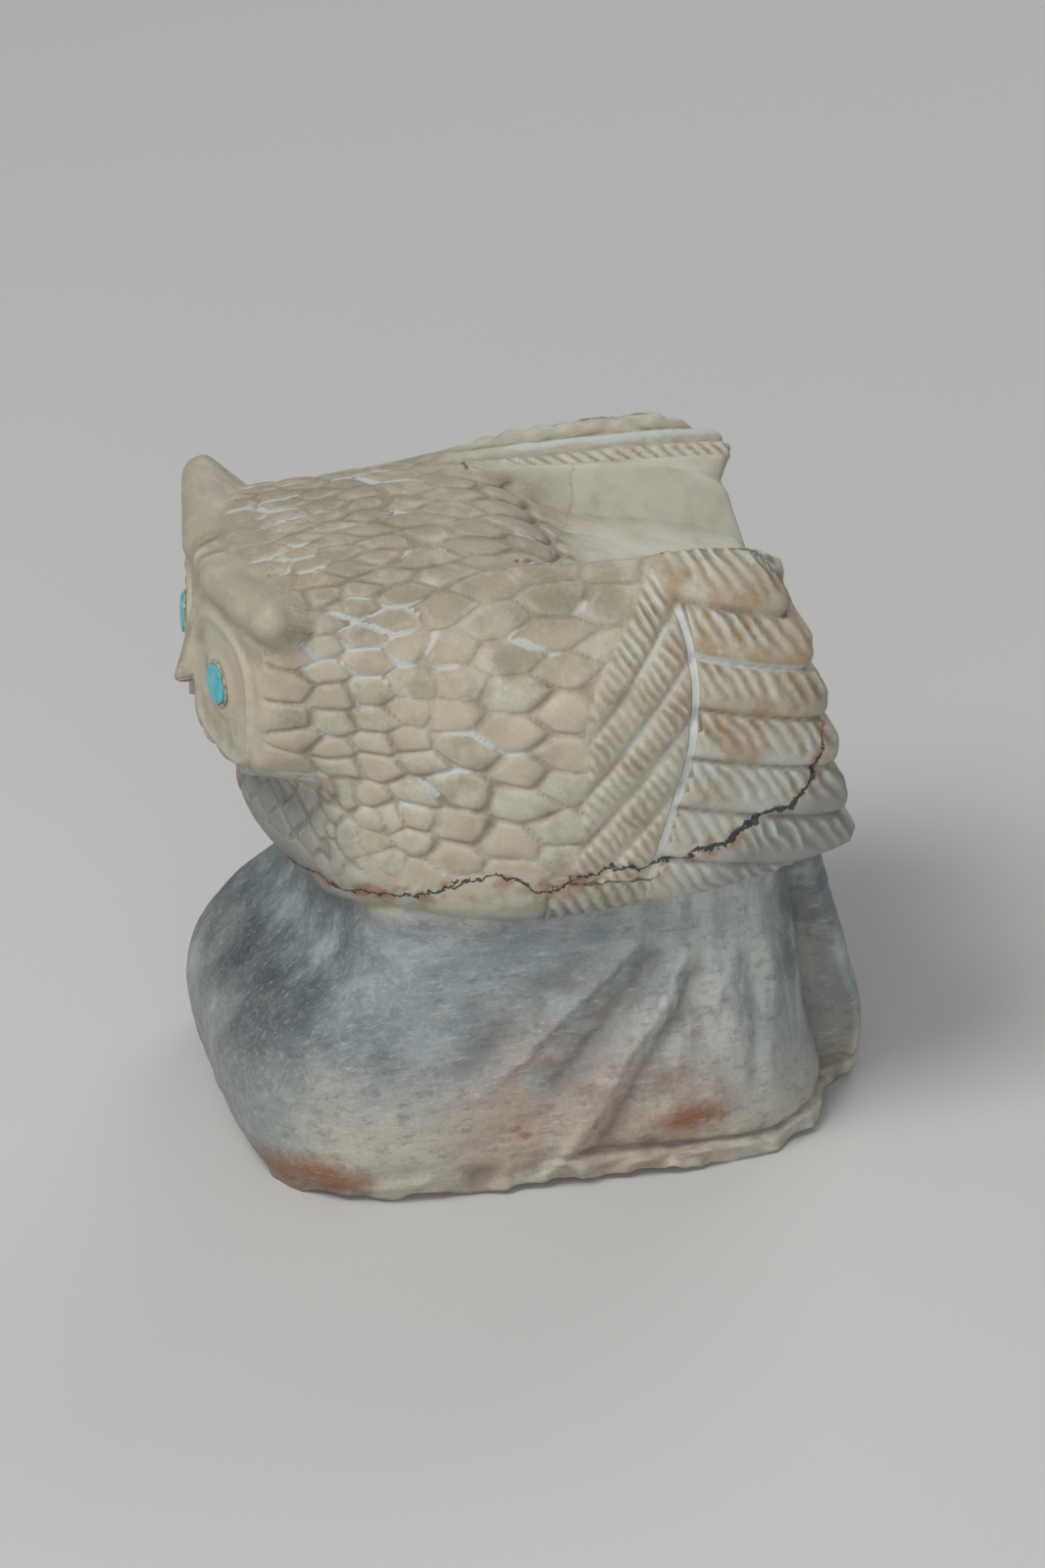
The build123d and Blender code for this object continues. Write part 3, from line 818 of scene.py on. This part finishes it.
def owl_material():
    """Banded stone with chalky white left in the cuts, brown dirt in the grooves, painted highlights on the
    barbs' crests with painted shade between them, and the dark vein.
    """
    material = bpy.data.materials.new("carved_owl_stone")
    material.use_nodes = True
    tree = material.node_tree
    surface = tree.nodes["Principled BSDF"]
    place = stone_place(tree)
    stone = add_node(tree, "ShaderNodeGroup", {"Place": place}, node_tree=banded_stone)
    whitened, darkened, polished = carved_values(tree, "carving")
    phase, row_share, barb_depth = carved_values(tree, "barbs")
    shaft, vein, shaft_reach = carved_values(tree, "lines")
    lead, pale_edge, smooth_top = carved_values(tree, "regions")
    colour = stone.outputs["Color"]
    scratch = noise(tree, place, 0.5, 3.0, roughness=0.7)
    blotch = noise(tree, place, 2.2, 3.0, shift=(4.4, 0.9, 2.2))

    colour = tint(tree, both(tree, smooth_top, ramp(tree, blotch, 0.0, 0.6), 0.85), colour, VALLEY_PALE)
    colour = tint(tree, both(tree, pale_edge, 0.7), colour, CREAM)
    colour = tint(tree, both(tree, polished, 0.5), colour, PINK)

    # Barbs: painted shade in brown between them, and painted highlights, pale and chalk-white, along their
    # crests.
    wave = maths(tree, "SINE", maths(tree, "MULTIPLY", phase, 2 * math.pi))
    crest = both(tree, ramp(tree, wave, 0.25, 0.95), barb_depth)
    painted_barb_shade = both(tree, ramp(tree, wave, -0.2, -0.95), barb_depth)
    near_row_top = ramp(tree, row_share, 0.75, 0.1)
    painted_barb_highlight = both(tree, crest, near_row_top, ramp(tree, blotch, 0.38, 0.62))
    # Brown painted shade in the barbs' troughs, then pale and white painted highlights on their crests,
    # lightest near each row's top.
    colour = tint(tree, both(tree, painted_barb_shade, 0.42), colour, GROOVE_BROWN)
    colour = tint(tree, both(tree, crest, 0.35), colour, PALE)
    colour = tint(tree, both(tree, painted_barb_highlight, 0.85), colour, CHALK_AND_HIGHLIGHT)

    # Scales: a worn brown outline with a pale lip inside it, then dirt and chalk in the deeper cuts.
    worn = maths(tree, "MULTIPLY_ADD", maths(tree, "SUBTRACT", scratch, 0.5), 0.14, lead)
    outline = ramp(tree, worn, 0.34, 0.06)
    lip = both(tree, ramp(tree, worn, 0.28, 0.42), ramp(tree, worn, 0.72, 0.46))
    colour = tint(tree, both(tree, outline, ramp(tree, blotch, 0.66, 0.38), 0.42), colour, GROOVE_BROWN)
    colour = tint(tree, both(tree, lip, ramp(tree, blotch, 0.42, 0.62), 0.30), colour, PALE)
    dirt = both(tree, darkened, ramp(tree, blotch, 0.25, 0.6), 0.72)
    colour = tint(tree, dirt, colour, GROOVE_BROWN)
    chalk = maths(tree, "MULTIPLY_ADD", maths(tree, "SUBTRACT", scratch, 0.5), 0.35, whitened)
    colour = tint(tree, both(tree, ramp(tree, chalk, 0.30, 0.72), 0.8), colour, CHALK_AND_HIGHLIGHT)

    # The wing's shaft, a crisp white line.
    wander = maths(tree, "MULTIPLY_ADD", maths(tree, "SUBTRACT", scratch, 0.5), 0.10, shaft)
    cut_edge = ramp(tree, maths(tree, "ABSOLUTE", wander), 0.34, 0.25)
    colour = tint(tree, both(tree, cut_edge, shaft_reach, 0.95), colour, CHALK_AND_HIGHLIGHT)

    # The vein: jagged and black, widest behind the shaft, rusty beside it and brown where it turns up.
    jag = noise(tree, place, 1.5, 4.0, roughness=0.72, shift=(2.0, 6.0, 3.0))
    vein_way = maths(tree, "MULTIPLY_ADD", maths(tree, "SUBTRACT", jag, 0.5), 2.4, vein)
    axes = add_node(tree, "ShaderNodeSeparateXYZ", {0: place})
    wide_part = both(tree, ramp(tree, axes.outputs[1], 6.0, 14.0), ramp(tree, axes.outputs[1], 20.5, 17.5))
    half_width = maths(tree, "MULTIPLY_ADD", wide_part, 0.15, 0.09)
    half_width = maths(tree, "MULTIPLY_ADD", maths(tree, "SUBTRACT", scratch, 0.5), 0.20, half_width)
    off_vein = maths(tree, "SUBTRACT", maths(tree, "ABSOLUTE", vein_way), half_width)
    in_vein = both(tree, ramp(tree, off_vein, 0.09, -0.03), ramp(tree, axes.outputs[2], 37.5, 35.0))
    rust_halo = both(tree, ramp(tree, maths(tree, "ABSOLUTE", vein_way), 1.5, 0.2),
                     ramp(tree, blotch, 0.46, 0.62), 0.7)
    brown_end = both(tree, ramp(tree, off_vein, 0.25, 0.0), ramp(tree, axes.outputs[2], 33.0, 36.0),
                     ramp(tree, axes.outputs[2], 40.5, 38.5), 0.6)
    colour = tint(tree, rust_halo, colour, RUST)
    colour = tint(tree, brown_end, colour, RUST)
    colour = tint(tree, both(tree, in_vein, 0.93), colour, VEIN_BLACK)

    # A hairline crack over the back.
    across_back = maths(tree, "MULTIPLY_ADD", axes.outputs[0], CRACK_SLANT, axes.outputs[1])
    across_back = maths(tree, "MULTIPLY_ADD", maths(tree, "SUBTRACT", jag, 0.5), 1.6, across_back)
    off_crack = maths(tree, "ABSOLUTE", maths(tree, "SUBTRACT", across_back, CRACK_PLACE))
    crack = both(tree, ramp(tree, off_crack, 0.11, 0.02), ramp(tree, axes.outputs[2], 43.0, 45.0),
                 ramp(tree, maths(tree, "ABSOLUTE", axes.outputs[0]), 10.0, 8.0), 0.3)
    colour = tint(tree, crack, colour, GROOVE_BROWN)

    tree.links.new(colour, surface.inputs["Base Color"])
    gloss = maths(tree, "MULTIPLY_ADD", polished, -0.10, stone.outputs["Roughness"])
    gloss = maths(tree, "MULTIPLY_ADD", whitened, 0.25, gloss)
    tree.links.new(gloss, surface.inputs["Roughness"])
    surface.inputs["Specular IOR Level"].default_value = STONE_SPECULAR
    relief = maths(tree, "MULTIPLY_ADD", wave, both(tree, barb_depth, 0.09), stone.outputs["Height"])
    relief = maths(tree, "MULTIPLY_ADD", in_vein, -0.10, relief)
    relief = maths(tree, "MULTIPLY_ADD", outline, -0.08, relief)
    relief = maths(tree, "MULTIPLY_ADD", both(tree, cut_edge, shaft_reach), -0.10, relief)
    bump = add_node(tree, "ShaderNodeBump", {"Height": relief, "Strength": 0.8, "Distance": 0.001})
    tree.links.new(bump.outputs[0], surface.inputs["Normal"])
    return material


owl.data.materials.append(owl_material())


# ------------------------------------------------------------------------------------------------
# The rock: the lower part of the same stone, left as a smooth boulder with a chipped foot.
# It narrows to a waist under the wings, and the tail runs down its back to a lobe of its own.
# ------------------------------------------------------------------------------------------------
ROCK_TOP = 38.0
ROCK_SQUARENESS = 4.0
QUILL_SPACING = 2.9


def rock_form(point):
    """A rounded oblong at each height, fullest low down and drawn in at the waist, with the tail."""
    x, y, z = point[..., 0], point[..., 1], point[..., 2]
    heights = [0.0, 4.0, 9.0, 13.0, 16.5, 20.0, 25.0, 34.0]
    half_width = curve_through(z, heights, [18.6, 18.9, 18.4, 17.6, 16.6, 15.8, 15.4, 8.0])
    front = curve_through(z, heights, [-22.6, -24.0, -23.8, -21.0, -16.8, -15.4, -15.0, -9.0])
    rear = curve_through(z, heights, [23.4, 23.0, 21.8, 21.4, 21.0, 20.6, 20.0, 12.0])
    middle, half_length = (front + rear) / 2, (rear - front) / 2
    round_share = (np.abs(x / half_width) ** ROCK_SQUARENESS
                   + np.abs((y - middle) / half_length) ** ROCK_SQUARENESS) ** (1 / ROCK_SQUARENESS)
    rock = (round_share - 1) * half_width
    tail_rear = curve_through(z, [0.0, 4.0, 12.0, 24.0, 34.0, 40.0], [26.4, 27.4, 25.8, 22.6, 20.6, 19.0])
    tail_half_width = curve_through(z, [0.0, 12.0, 30.0, 40.0], [9.0, 8.6, 7.6, 6.0])
    tail = smooth_cut(np.abs(x) - tail_half_width, np.maximum(y - tail_rear, -y), 3.0)
    return smooth_union(rock, tail, 0.8)


def rock_surface(turn, rise):
    """Level rays from an upright line: turn goes once round it, clockwise from above, and rise climbs
    from foot to top, which is the order that makes the faces point outwards."""
    turn, height = np.meshgrid(-turn * 2 * math.pi, rise * ROCK_TOP, indexing="ij")
    directions = np.stack([np.cos(turn), np.sin(turn), 0 * turn], -1)
    origins = np.stack([0 * turn, 0 * turn, height], -1)
    return cast(rock_form, origins, directions, 40)


def ridge_line(y, z, start, end, width):
    """1 along a straight line on the rock's side and 0 a few widths away, tapering in at both ends."""
    start, end = np.array(start), np.array(end)
    along = end - start
    offset = np.stack([y, z], -1) - start
    share = offset @ along / (along @ along)
    aside = (offset[..., 0] * along[1] - offset[..., 1] * along[0]) / math.hypot(*along)
    ends = smooth_step(share, -0.15, 0.12) * (1 - smooth_step(share, 0.85, 1.2))
    crest = np.exp(-np.abs(aside) / width) * 1.15
    return np.minimum(crest, 1.0) * ends


RIDGES = [
    ((6.4, 19.4), (-5.2, 10.0), 0.65, 0.50), ((10.4, 18.6), (7.6, 14.0), 1.0, 0.65),
    ((7.6, 14.0), (-0.8, 1.9), 1.1, 0.60), ((13.6, 17.6), (14.2, 6.7), 0.8, 0.34),
    ((17.2, 17.0), (16.8, 7.0), 0.8, 0.30)]
HOLLOWS = [
    ((8.4, 18.4), (-0.5, 8.6), 1.5, 0.60), ((11.8, 17.8), (2.6, 2.6), 1.1, 0.62),
    ((15.5, 17.4), (15.6, 7.0), 0.9, 0.30), ((1.5, 18.0), (-9.0, 10.0), 2.2, 0.35),
    ((-1.5, 6.5), (-9.0, 3.6), 1.4, 0.22)]


def rock_carving(points):
    """Height over the smooth boulder in millimetres: ridges and hollows fanning down each side from
    under the wing, upright flutes behind them, a ledge and chips along the foot, and soft waves."""
    x, y, z = points[..., 0], points[..., 1], points[..., 2]
    on_side = smooth_step(np.abs(x), 11.0, 14.5) * (1 - smooth_step(y, 19.5, 21.5))
    waves = value_noise(points, 2.8, 23)
    bent_y = y + 0.5 * waves + 0.22 * value_noise(points, 0.9, 59)
    height = 0 * x
    for start, end, width, depth in RIDGES:
        height = height + depth * ridge_line(bent_y, z, start, end, width) * on_side
    for start, end, width, depth in HOLLOWS:
        height = height - depth * ridge_line(bent_y, z, start, end, width) * on_side
    seam = 2.3 + 0.9 * value_noise(points * np.array([1.0, 1.0, 0.0]), 5.0, 29) - 0.03 * y
    behind = smooth_step(y, -4.0, 3.0)
    ledge = 1 - smooth_step(z, seam - 0.2, seam)
    height = height - 0.55 * groove(z - seam, 0.28) * behind + 0.5 * behind * ledge
    chips = value_noise(points, 1.7, 31)
    facets = np.abs(value_noise(points, 3.1, 37))
    low = 1 - smooth_step(z, 1.2, 4.0)
    height = height + low * (0.35 * chips - 0.7 * facets)
    quill = x / QUILL_SPACING
    quill_edge = np.abs(quill - np.round(quill)) * QUILL_SPACING
    on_tail = smooth_step(y, 22.0, 23.4) * (1 - smooth_step(np.abs(x), 7.2, 8.4)) * smooth_step(z, 3.0, 6.0)
    height = height - 0.35 * groove(quill_edge + 0.15 * waves, 0.35) * on_tail
    tail_seam = groove(np.abs(x) - 8.8, 0.5) * smooth_step(y, 19.5, 21.0)
    height = height - 0.6 * tail_seam
    cloud = value_noise(points, 7.0, 41)
    streaks = value_noise(points * np.array([1.0, 0.30, 1.0]), 0.8, 43)
    pits = np.maximum(value_noise(points, 0.7, 61) - 0.45, 0)
    return height + 0.22 * cloud * (1 - low) + 0.12 * waves + 0.07 * streaks - 0.16 * pits


ROCK_AROUND, ROCK_ALONG = 480, 160
coarse_rock = rock_surface(np.linspace(0, 1, 361), np.linspace(0, 0.6, 12))
rock_turns = even_steps(coarse_rock, 0, ROCK_AROUND + 1, 1.0)[:-1]
side_points = rock_surface(rock_turns, np.linspace(0, 1, ROCK_ALONG))
side_normals = outward_normals(side_points)
rock_height = rock_carving(side_points)
side_points = side_points + side_normals * [1, 1, 0] * rock_height[..., None]
large_chips, small_chips = value_noise(side_points, 3.4, 47), value_noise(side_points, 1.2, 53)
chipped_edge = np.clip(0.45 + 0.75 * large_chips + 0.3 * small_chips, 0, 1)
side_points[..., 2] += 0.9 * chipped_edge * (1 - smooth_step(side_points[..., 2], 0.0, 2.6))
shrink = np.linspace(0.02, 1, 12)[:-1]
foot = side_points[:, :1] * [1, 1, 0] * shrink[None, :, None]
foot[..., 2] = side_points[:, :1, 2] * smooth_step(shrink, 0.9, 1.0)[None]
top = side_points[:, -1:] * np.stack([shrink[::-1], shrink[::-1], 0 * shrink + 1], -1)[None]
rock_points = np.concatenate([foot, side_points, top], 1)
rock_hollow = np.concatenate([0 * foot[..., 0], rock_height, 0 * top[..., 0]], 1)
rock_piece = closed_mesh("rock_base", rock_points, {
    "hollows": np.stack([np.clip(rock_hollow, 0, 1), np.clip(-rock_hollow, 0, 1), 0 * rock_hollow], -1)})
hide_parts("carved_stone")
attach(rock_piece, "root")


HOLLOW_BROWN, DULL_GREY = (0.13, 0.115, 0.095), (0.085, 0.085, 0.08)


def rock_material():
    """Banded stone, paler on the ridges and darker brown in the hollows, with dull patches and long
    fine scratches."""
    material = bpy.data.materials.new("rock_base_stone")
    material.use_nodes = True
    tree = material.node_tree
    surface = tree.nodes["Principled BSDF"]
    place = stone_place(tree)
    stone = add_node(tree, "ShaderNodeGroup", {"Place": place}, node_tree=banded_stone)
    raised, sunk, _ = carved_values(tree, "hollows")
    # Lighter where the carving is raised, darker brown where it is sunk.
    colour = tint(tree, both(tree, ramp(tree, raised, 0.10, 0.50), 0.5), stone.outputs["Color"], PALE)
    colour = tint(tree, both(tree, ramp(tree, sunk, 0.10, 0.55), 0.5), colour, HOLLOW_BROWN)
    scratches = noise(tree, place, 0.35, 4.0, stretch=(1.0, 0.14, 0.9), roughness=0.75)
    colour = tint(tree, both(tree, ramp(tree, scratches, 0.54, 0.72), 0.45), colour, CHALK_AND_HIGHLIGHT)
    dull = noise(tree, place, 0.8, 4.0, stretch=(1.0, 0.5, 1.0), shift=(3.3, 1.1, 6.2), roughness=0.75)
    colour = tint(tree, both(tree, ramp(tree, dull, 0.50, 0.32), 0.38), colour, DULL_GREY)
    tree.links.new(colour, surface.inputs["Base Color"])
    tree.links.new(maths(tree, "ADD", stone.outputs["Roughness"], 0.04), surface.inputs["Roughness"])
    surface.inputs["Specular IOR Level"].default_value = STONE_SPECULAR
    relief = maths(tree, "MULTIPLY_ADD", scratches, 0.09, stone.outputs["Height"])
    relief = maths(tree, "MULTIPLY_ADD", dull, 0.12, relief)
    bump = add_node(tree, "ShaderNodeBump", {"Height": relief, "Strength": 0.8, "Distance": 0.001})
    tree.links.new(bump.outputs[0], surface.inputs["Normal"])
    return material


rock_piece.data.materials.append(rock_material())


# ------------------------------------------------------------------------------------------------
# The adhesive: a clear-grey cup under each eye, squeezed out as a thin uneven bead round its edge.
# ------------------------------------------------------------------------------------------------
BLOB_TURN = math.radians(-12)


def turned_piece(name, side, profile, wander, blob_size, seed):
    """A closed piece turned about the eye's axis: each profile point is a radius and a height over the
    face. Above the face, noise of the wander's depth moves it and a blob swells it on one side."""
    turn = np.linspace(0, 2 * math.pi, 96, endpoint=False)[:, None]
    radius, height = np.array(profile).T[:, None]
    outward = np.array([side * math.sin(FACE_SPLAY), -math.cos(FACE_SPLAY), 0.0])
    sideways = np.array([side * math.cos(FACE_SPLAY), math.sin(FACE_SPLAY), 0.0])
    ring = np.stack([np.cos(turn), np.sin(turn), 0 * turn], -1)
    uneven = wander * value_noise(ring * 1.6 + [0.0, 0.0, 3.0 * side], 0.8, seed)[..., None]
    above = smooth_step(height, 0.0, 0.12)[..., None]
    blob = blob_size * np.exp((np.cos(turn - BLOB_TURN) - 1) / 0.08)[..., None]
    spread = radius[..., None] + (uneven + blob) * above
    lifted = height[..., None] + 0.5 * uneven * above
    seat = EYE_SEAT * [side, 1, 1]
    points = seat + spread * (ring[..., :1] * sideways + ring[..., 1:2] * [0, 0, 1]) + lifted * outward
    if side > 0:
        points = points[::-1]
    return closed_mesh(name, points, {})


def adhesive_material():
    """Dried clear adhesive, a little grey and cloudy, with tiny bubbles."""
    material = bpy.data.materials.new("dried_adhesive")
    material.use_nodes = True
    tree = material.node_tree
    surface = tree.nodes["Principled BSDF"]
    place = stone_place(tree)
    cloud = noise(tree, place, 0.5, 3.0)
    bubble = ramp(tree, noise(tree, place, 0.12, 1.0), 0.62, 0.72)
    colour = tint(tree, ramp(tree, cloud, 0.35, 0.65), (0.17, 0.155, 0.12), (0.40, 0.39, 0.34))
    colour = tint(tree, both(tree, bubble, 0.5), colour, (0.5, 0.52, 0.5))
    tree.links.new(colour, surface.inputs["Base Color"])
    tree.links.new(maths(tree, "MULTIPLY_ADD", cloud, 0.25, 0.12), surface.inputs["Roughness"])
    bump = add_node(tree, "ShaderNodeBump", {"Height": cloud, "Strength": 0.5, "Distance": 0.0001})
    tree.links.new(bump.outputs[0], surface.inputs["Normal"])
    return material


ADHESIVE_WALL = 0.15
ADHESIVE_FLOOR = 0.25
POCKET_DEPTH = EYE_THICKNESS - EYE_PROUD + ADHESIVE_FLOOR
pocket_radius = EYE_RADIUS + ADHESIVE_WALL
adhesive_profile = [
    (0.02, -POCKET_DEPTH), (0.5 * pocket_radius, -POCKET_DEPTH), (pocket_radius - 0.03, -POCKET_DEPTH),
    (pocket_radius, -POCKET_DEPTH + 0.03), (pocket_radius, -0.1), (pocket_radius + 0.02, -0.02),
    (pocket_radius + 0.12, 0.0), (pocket_radius + 0.13, 0.04), (pocket_radius + 0.08, 0.10),
    (pocket_radius, 0.14), (pocket_radius - 0.08, 0.17), (EYE_RADIUS, 0.18),
    (EYE_RADIUS, -POCKET_DEPTH + ADHESIVE_FLOOR), (0.02, -POCKET_DEPTH + ADHESIVE_FLOOR)]
dried_adhesive = adhesive_material()
for side_name, side_sign in (("left", 1), ("right", -1)):
    bed = turned_piece(f"{side_name}_adhesive_bed", side_sign, adhesive_profile, 0.12, 0.24, 61)
    bed.data.materials.append(dried_adhesive)
    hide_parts(f"{side_name}_eye_adhesive")
    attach(bed, "root")


# ------------------------------------------------------------------------------------------------
# The eyes: round plugs of blue-green turquoise, ground flat with a soft edge, standing a little proud.
# ------------------------------------------------------------------------------------------------
def turquoise_material():
    """Turquoise: sky blue with greener clouds, a few pale flecks and hairlines of brown matrix."""
    material = bpy.data.materials.new("turquoise")
    material.use_nodes = True
    tree = material.node_tree
    surface = tree.nodes["Principled BSDF"]
    place = stone_place(tree)
    cloud = noise(tree, place, 1.1, 3.0)
    fleck = ramp(tree, noise(tree, place, 0.22, 2.0), 0.60, 0.74)
    veins = noise(tree, place, 1.3, 3.0, shift=(4.0, 1.0, 7.0))
    web = maths(tree, "ABSOLUTE", maths(tree, "SUBTRACT", veins, 0.5))
    colour = tint(tree, ramp(tree, cloud, 0.35, 0.65), (0.035, 0.335, 0.385), (0.08, 0.45, 0.54))
    colour = tint(tree, both(tree, fleck, 0.35), colour, (0.35, 0.68, 0.72))
    colour = tint(tree, both(tree, ramp(tree, web, 0.012, 0.0), 0.5), colour, (0.10, 0.13, 0.10))
    tree.links.new(colour, surface.inputs["Base Color"])
    tree.links.new(maths(tree, "MULTIPLY_ADD", cloud, 0.2, 0.22), surface.inputs["Roughness"])
    bump = add_node(tree, "ShaderNodeBump", {"Height": cloud, "Strength": 0.25, "Distance": 0.0001})
    tree.links.new(bump.outputs[0], surface.inputs["Normal"])
    return material


EYE_CROWN = 0.12
EYE_EDGE = 0.14
crown_shares = np.linspace(0.0, 1.0, 9)[1:]
eye_profile = [(0.01, EYE_PROUD - EYE_THICKNESS), (EYE_RADIUS, EYE_PROUD - EYE_THICKNESS)]
eye_profile += [
    (EYE_RADIUS - EYE_EDGE * (1 - math.cos(angle)), EYE_PROUD - EYE_CROWN - EYE_EDGE * (1 - math.sin(angle)))
    for angle in np.linspace(0, math.pi / 2, 6)]
eye_profile += [((EYE_RADIUS - EYE_EDGE) * (1 - share) + 0.01, EYE_PROUD - EYE_CROWN * (1 - share) ** 2)
                for share in crown_shares]
turquoise = turquoise_material()
for side_name, side_sign in (("left", 1), ("right", -1)):
    eye = turned_piece(f"{side_name}_turquoise_eye", side_sign, eye_profile, 0.03, 0.0, 67)
    eye.data.materials.append(turquoise)
    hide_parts(f"{side_name}_eye_inlay")
    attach(eye, "root")


# ------------------------------------------------------------------------------------------------
# The place: a pale level floor, soft studio light and the camera at the figure's left front.
# ------------------------------------------------------------------------------------------------
floor_mesh = bpy.data.meshes.new("floor")
floor_mesh.from_pydata([(-2, -2, 0), (2, -2, 0), (2, 2, 0), (-2, 2, 0)], [], [(0, 1, 2, 3)])
floor = bpy.data.objects.new("floor", floor_mesh)
bpy.context.scene.collection.objects.link(floor)
pale_floor = bpy.data.materials.new("pale_floor")
pale_floor.use_nodes = True
pale_floor.node_tree.nodes["Principled BSDF"].inputs["Base Color"].default_value = (0.52, 0.515, 0.5, 1)
pale_floor.node_tree.nodes["Principled BSDF"].inputs["Roughness"].default_value = 0.85
floor_mesh.materials.append(pale_floor)

LAMP_AIM = Vector((0, 0, 0.025))
LAMPS = [
    ("key", (0.16, -0.30, 0.50), 0.24, 2.3),
    ("side_fill", (0.50, -0.12, 0.16), 0.40, 1.0),
    ("back_rim", (-0.40, 0.30, 0.38), 0.30, 0.8)]
for name, place, size, power in LAMPS:
    lamp = bpy.data.lights.new(name, "AREA")
    lamp.size = size
    lamp.energy = power
    light = bpy.data.objects.new(name, lamp)
    light.location = place
    light.rotation_euler = (LAMP_AIM - Vector(place)).to_track_quat("-Z", "Y").to_euler()
    bpy.context.scene.collection.objects.link(light)
world = bpy.data.worlds.new("studio")
world.use_nodes = True
world.node_tree.nodes["Background"].inputs["Color"].default_value = (0.86, 0.88, 0.92, 1)
world.node_tree.nodes["Background"].inputs["Strength"].default_value = 0.30
bpy.context.scene.world = world
bpy.context.scene.view_settings.view_transform = "Standard"

AZIMUTH, ELEVATION, DISTANCE = math.radians(76), math.radians(28), 0.48
camera_data = bpy.data.cameras.new("camera")
camera_data.lens = 142.0
camera = bpy.data.objects.new("camera", camera_data)
bpy.context.scene.collection.objects.link(camera)
aim = Vector((0.0002, 0.0012, 0.0254))
back = Vector((math.sin(AZIMUTH) * math.cos(ELEVATION), -math.cos(AZIMUTH) * math.cos(ELEVATION),
               math.sin(ELEVATION)))
camera.location = aim + back * DISTANCE
camera.rotation_euler = back.to_track_quat("Z", "Y").to_euler()
bpy.context.scene.camera = camera
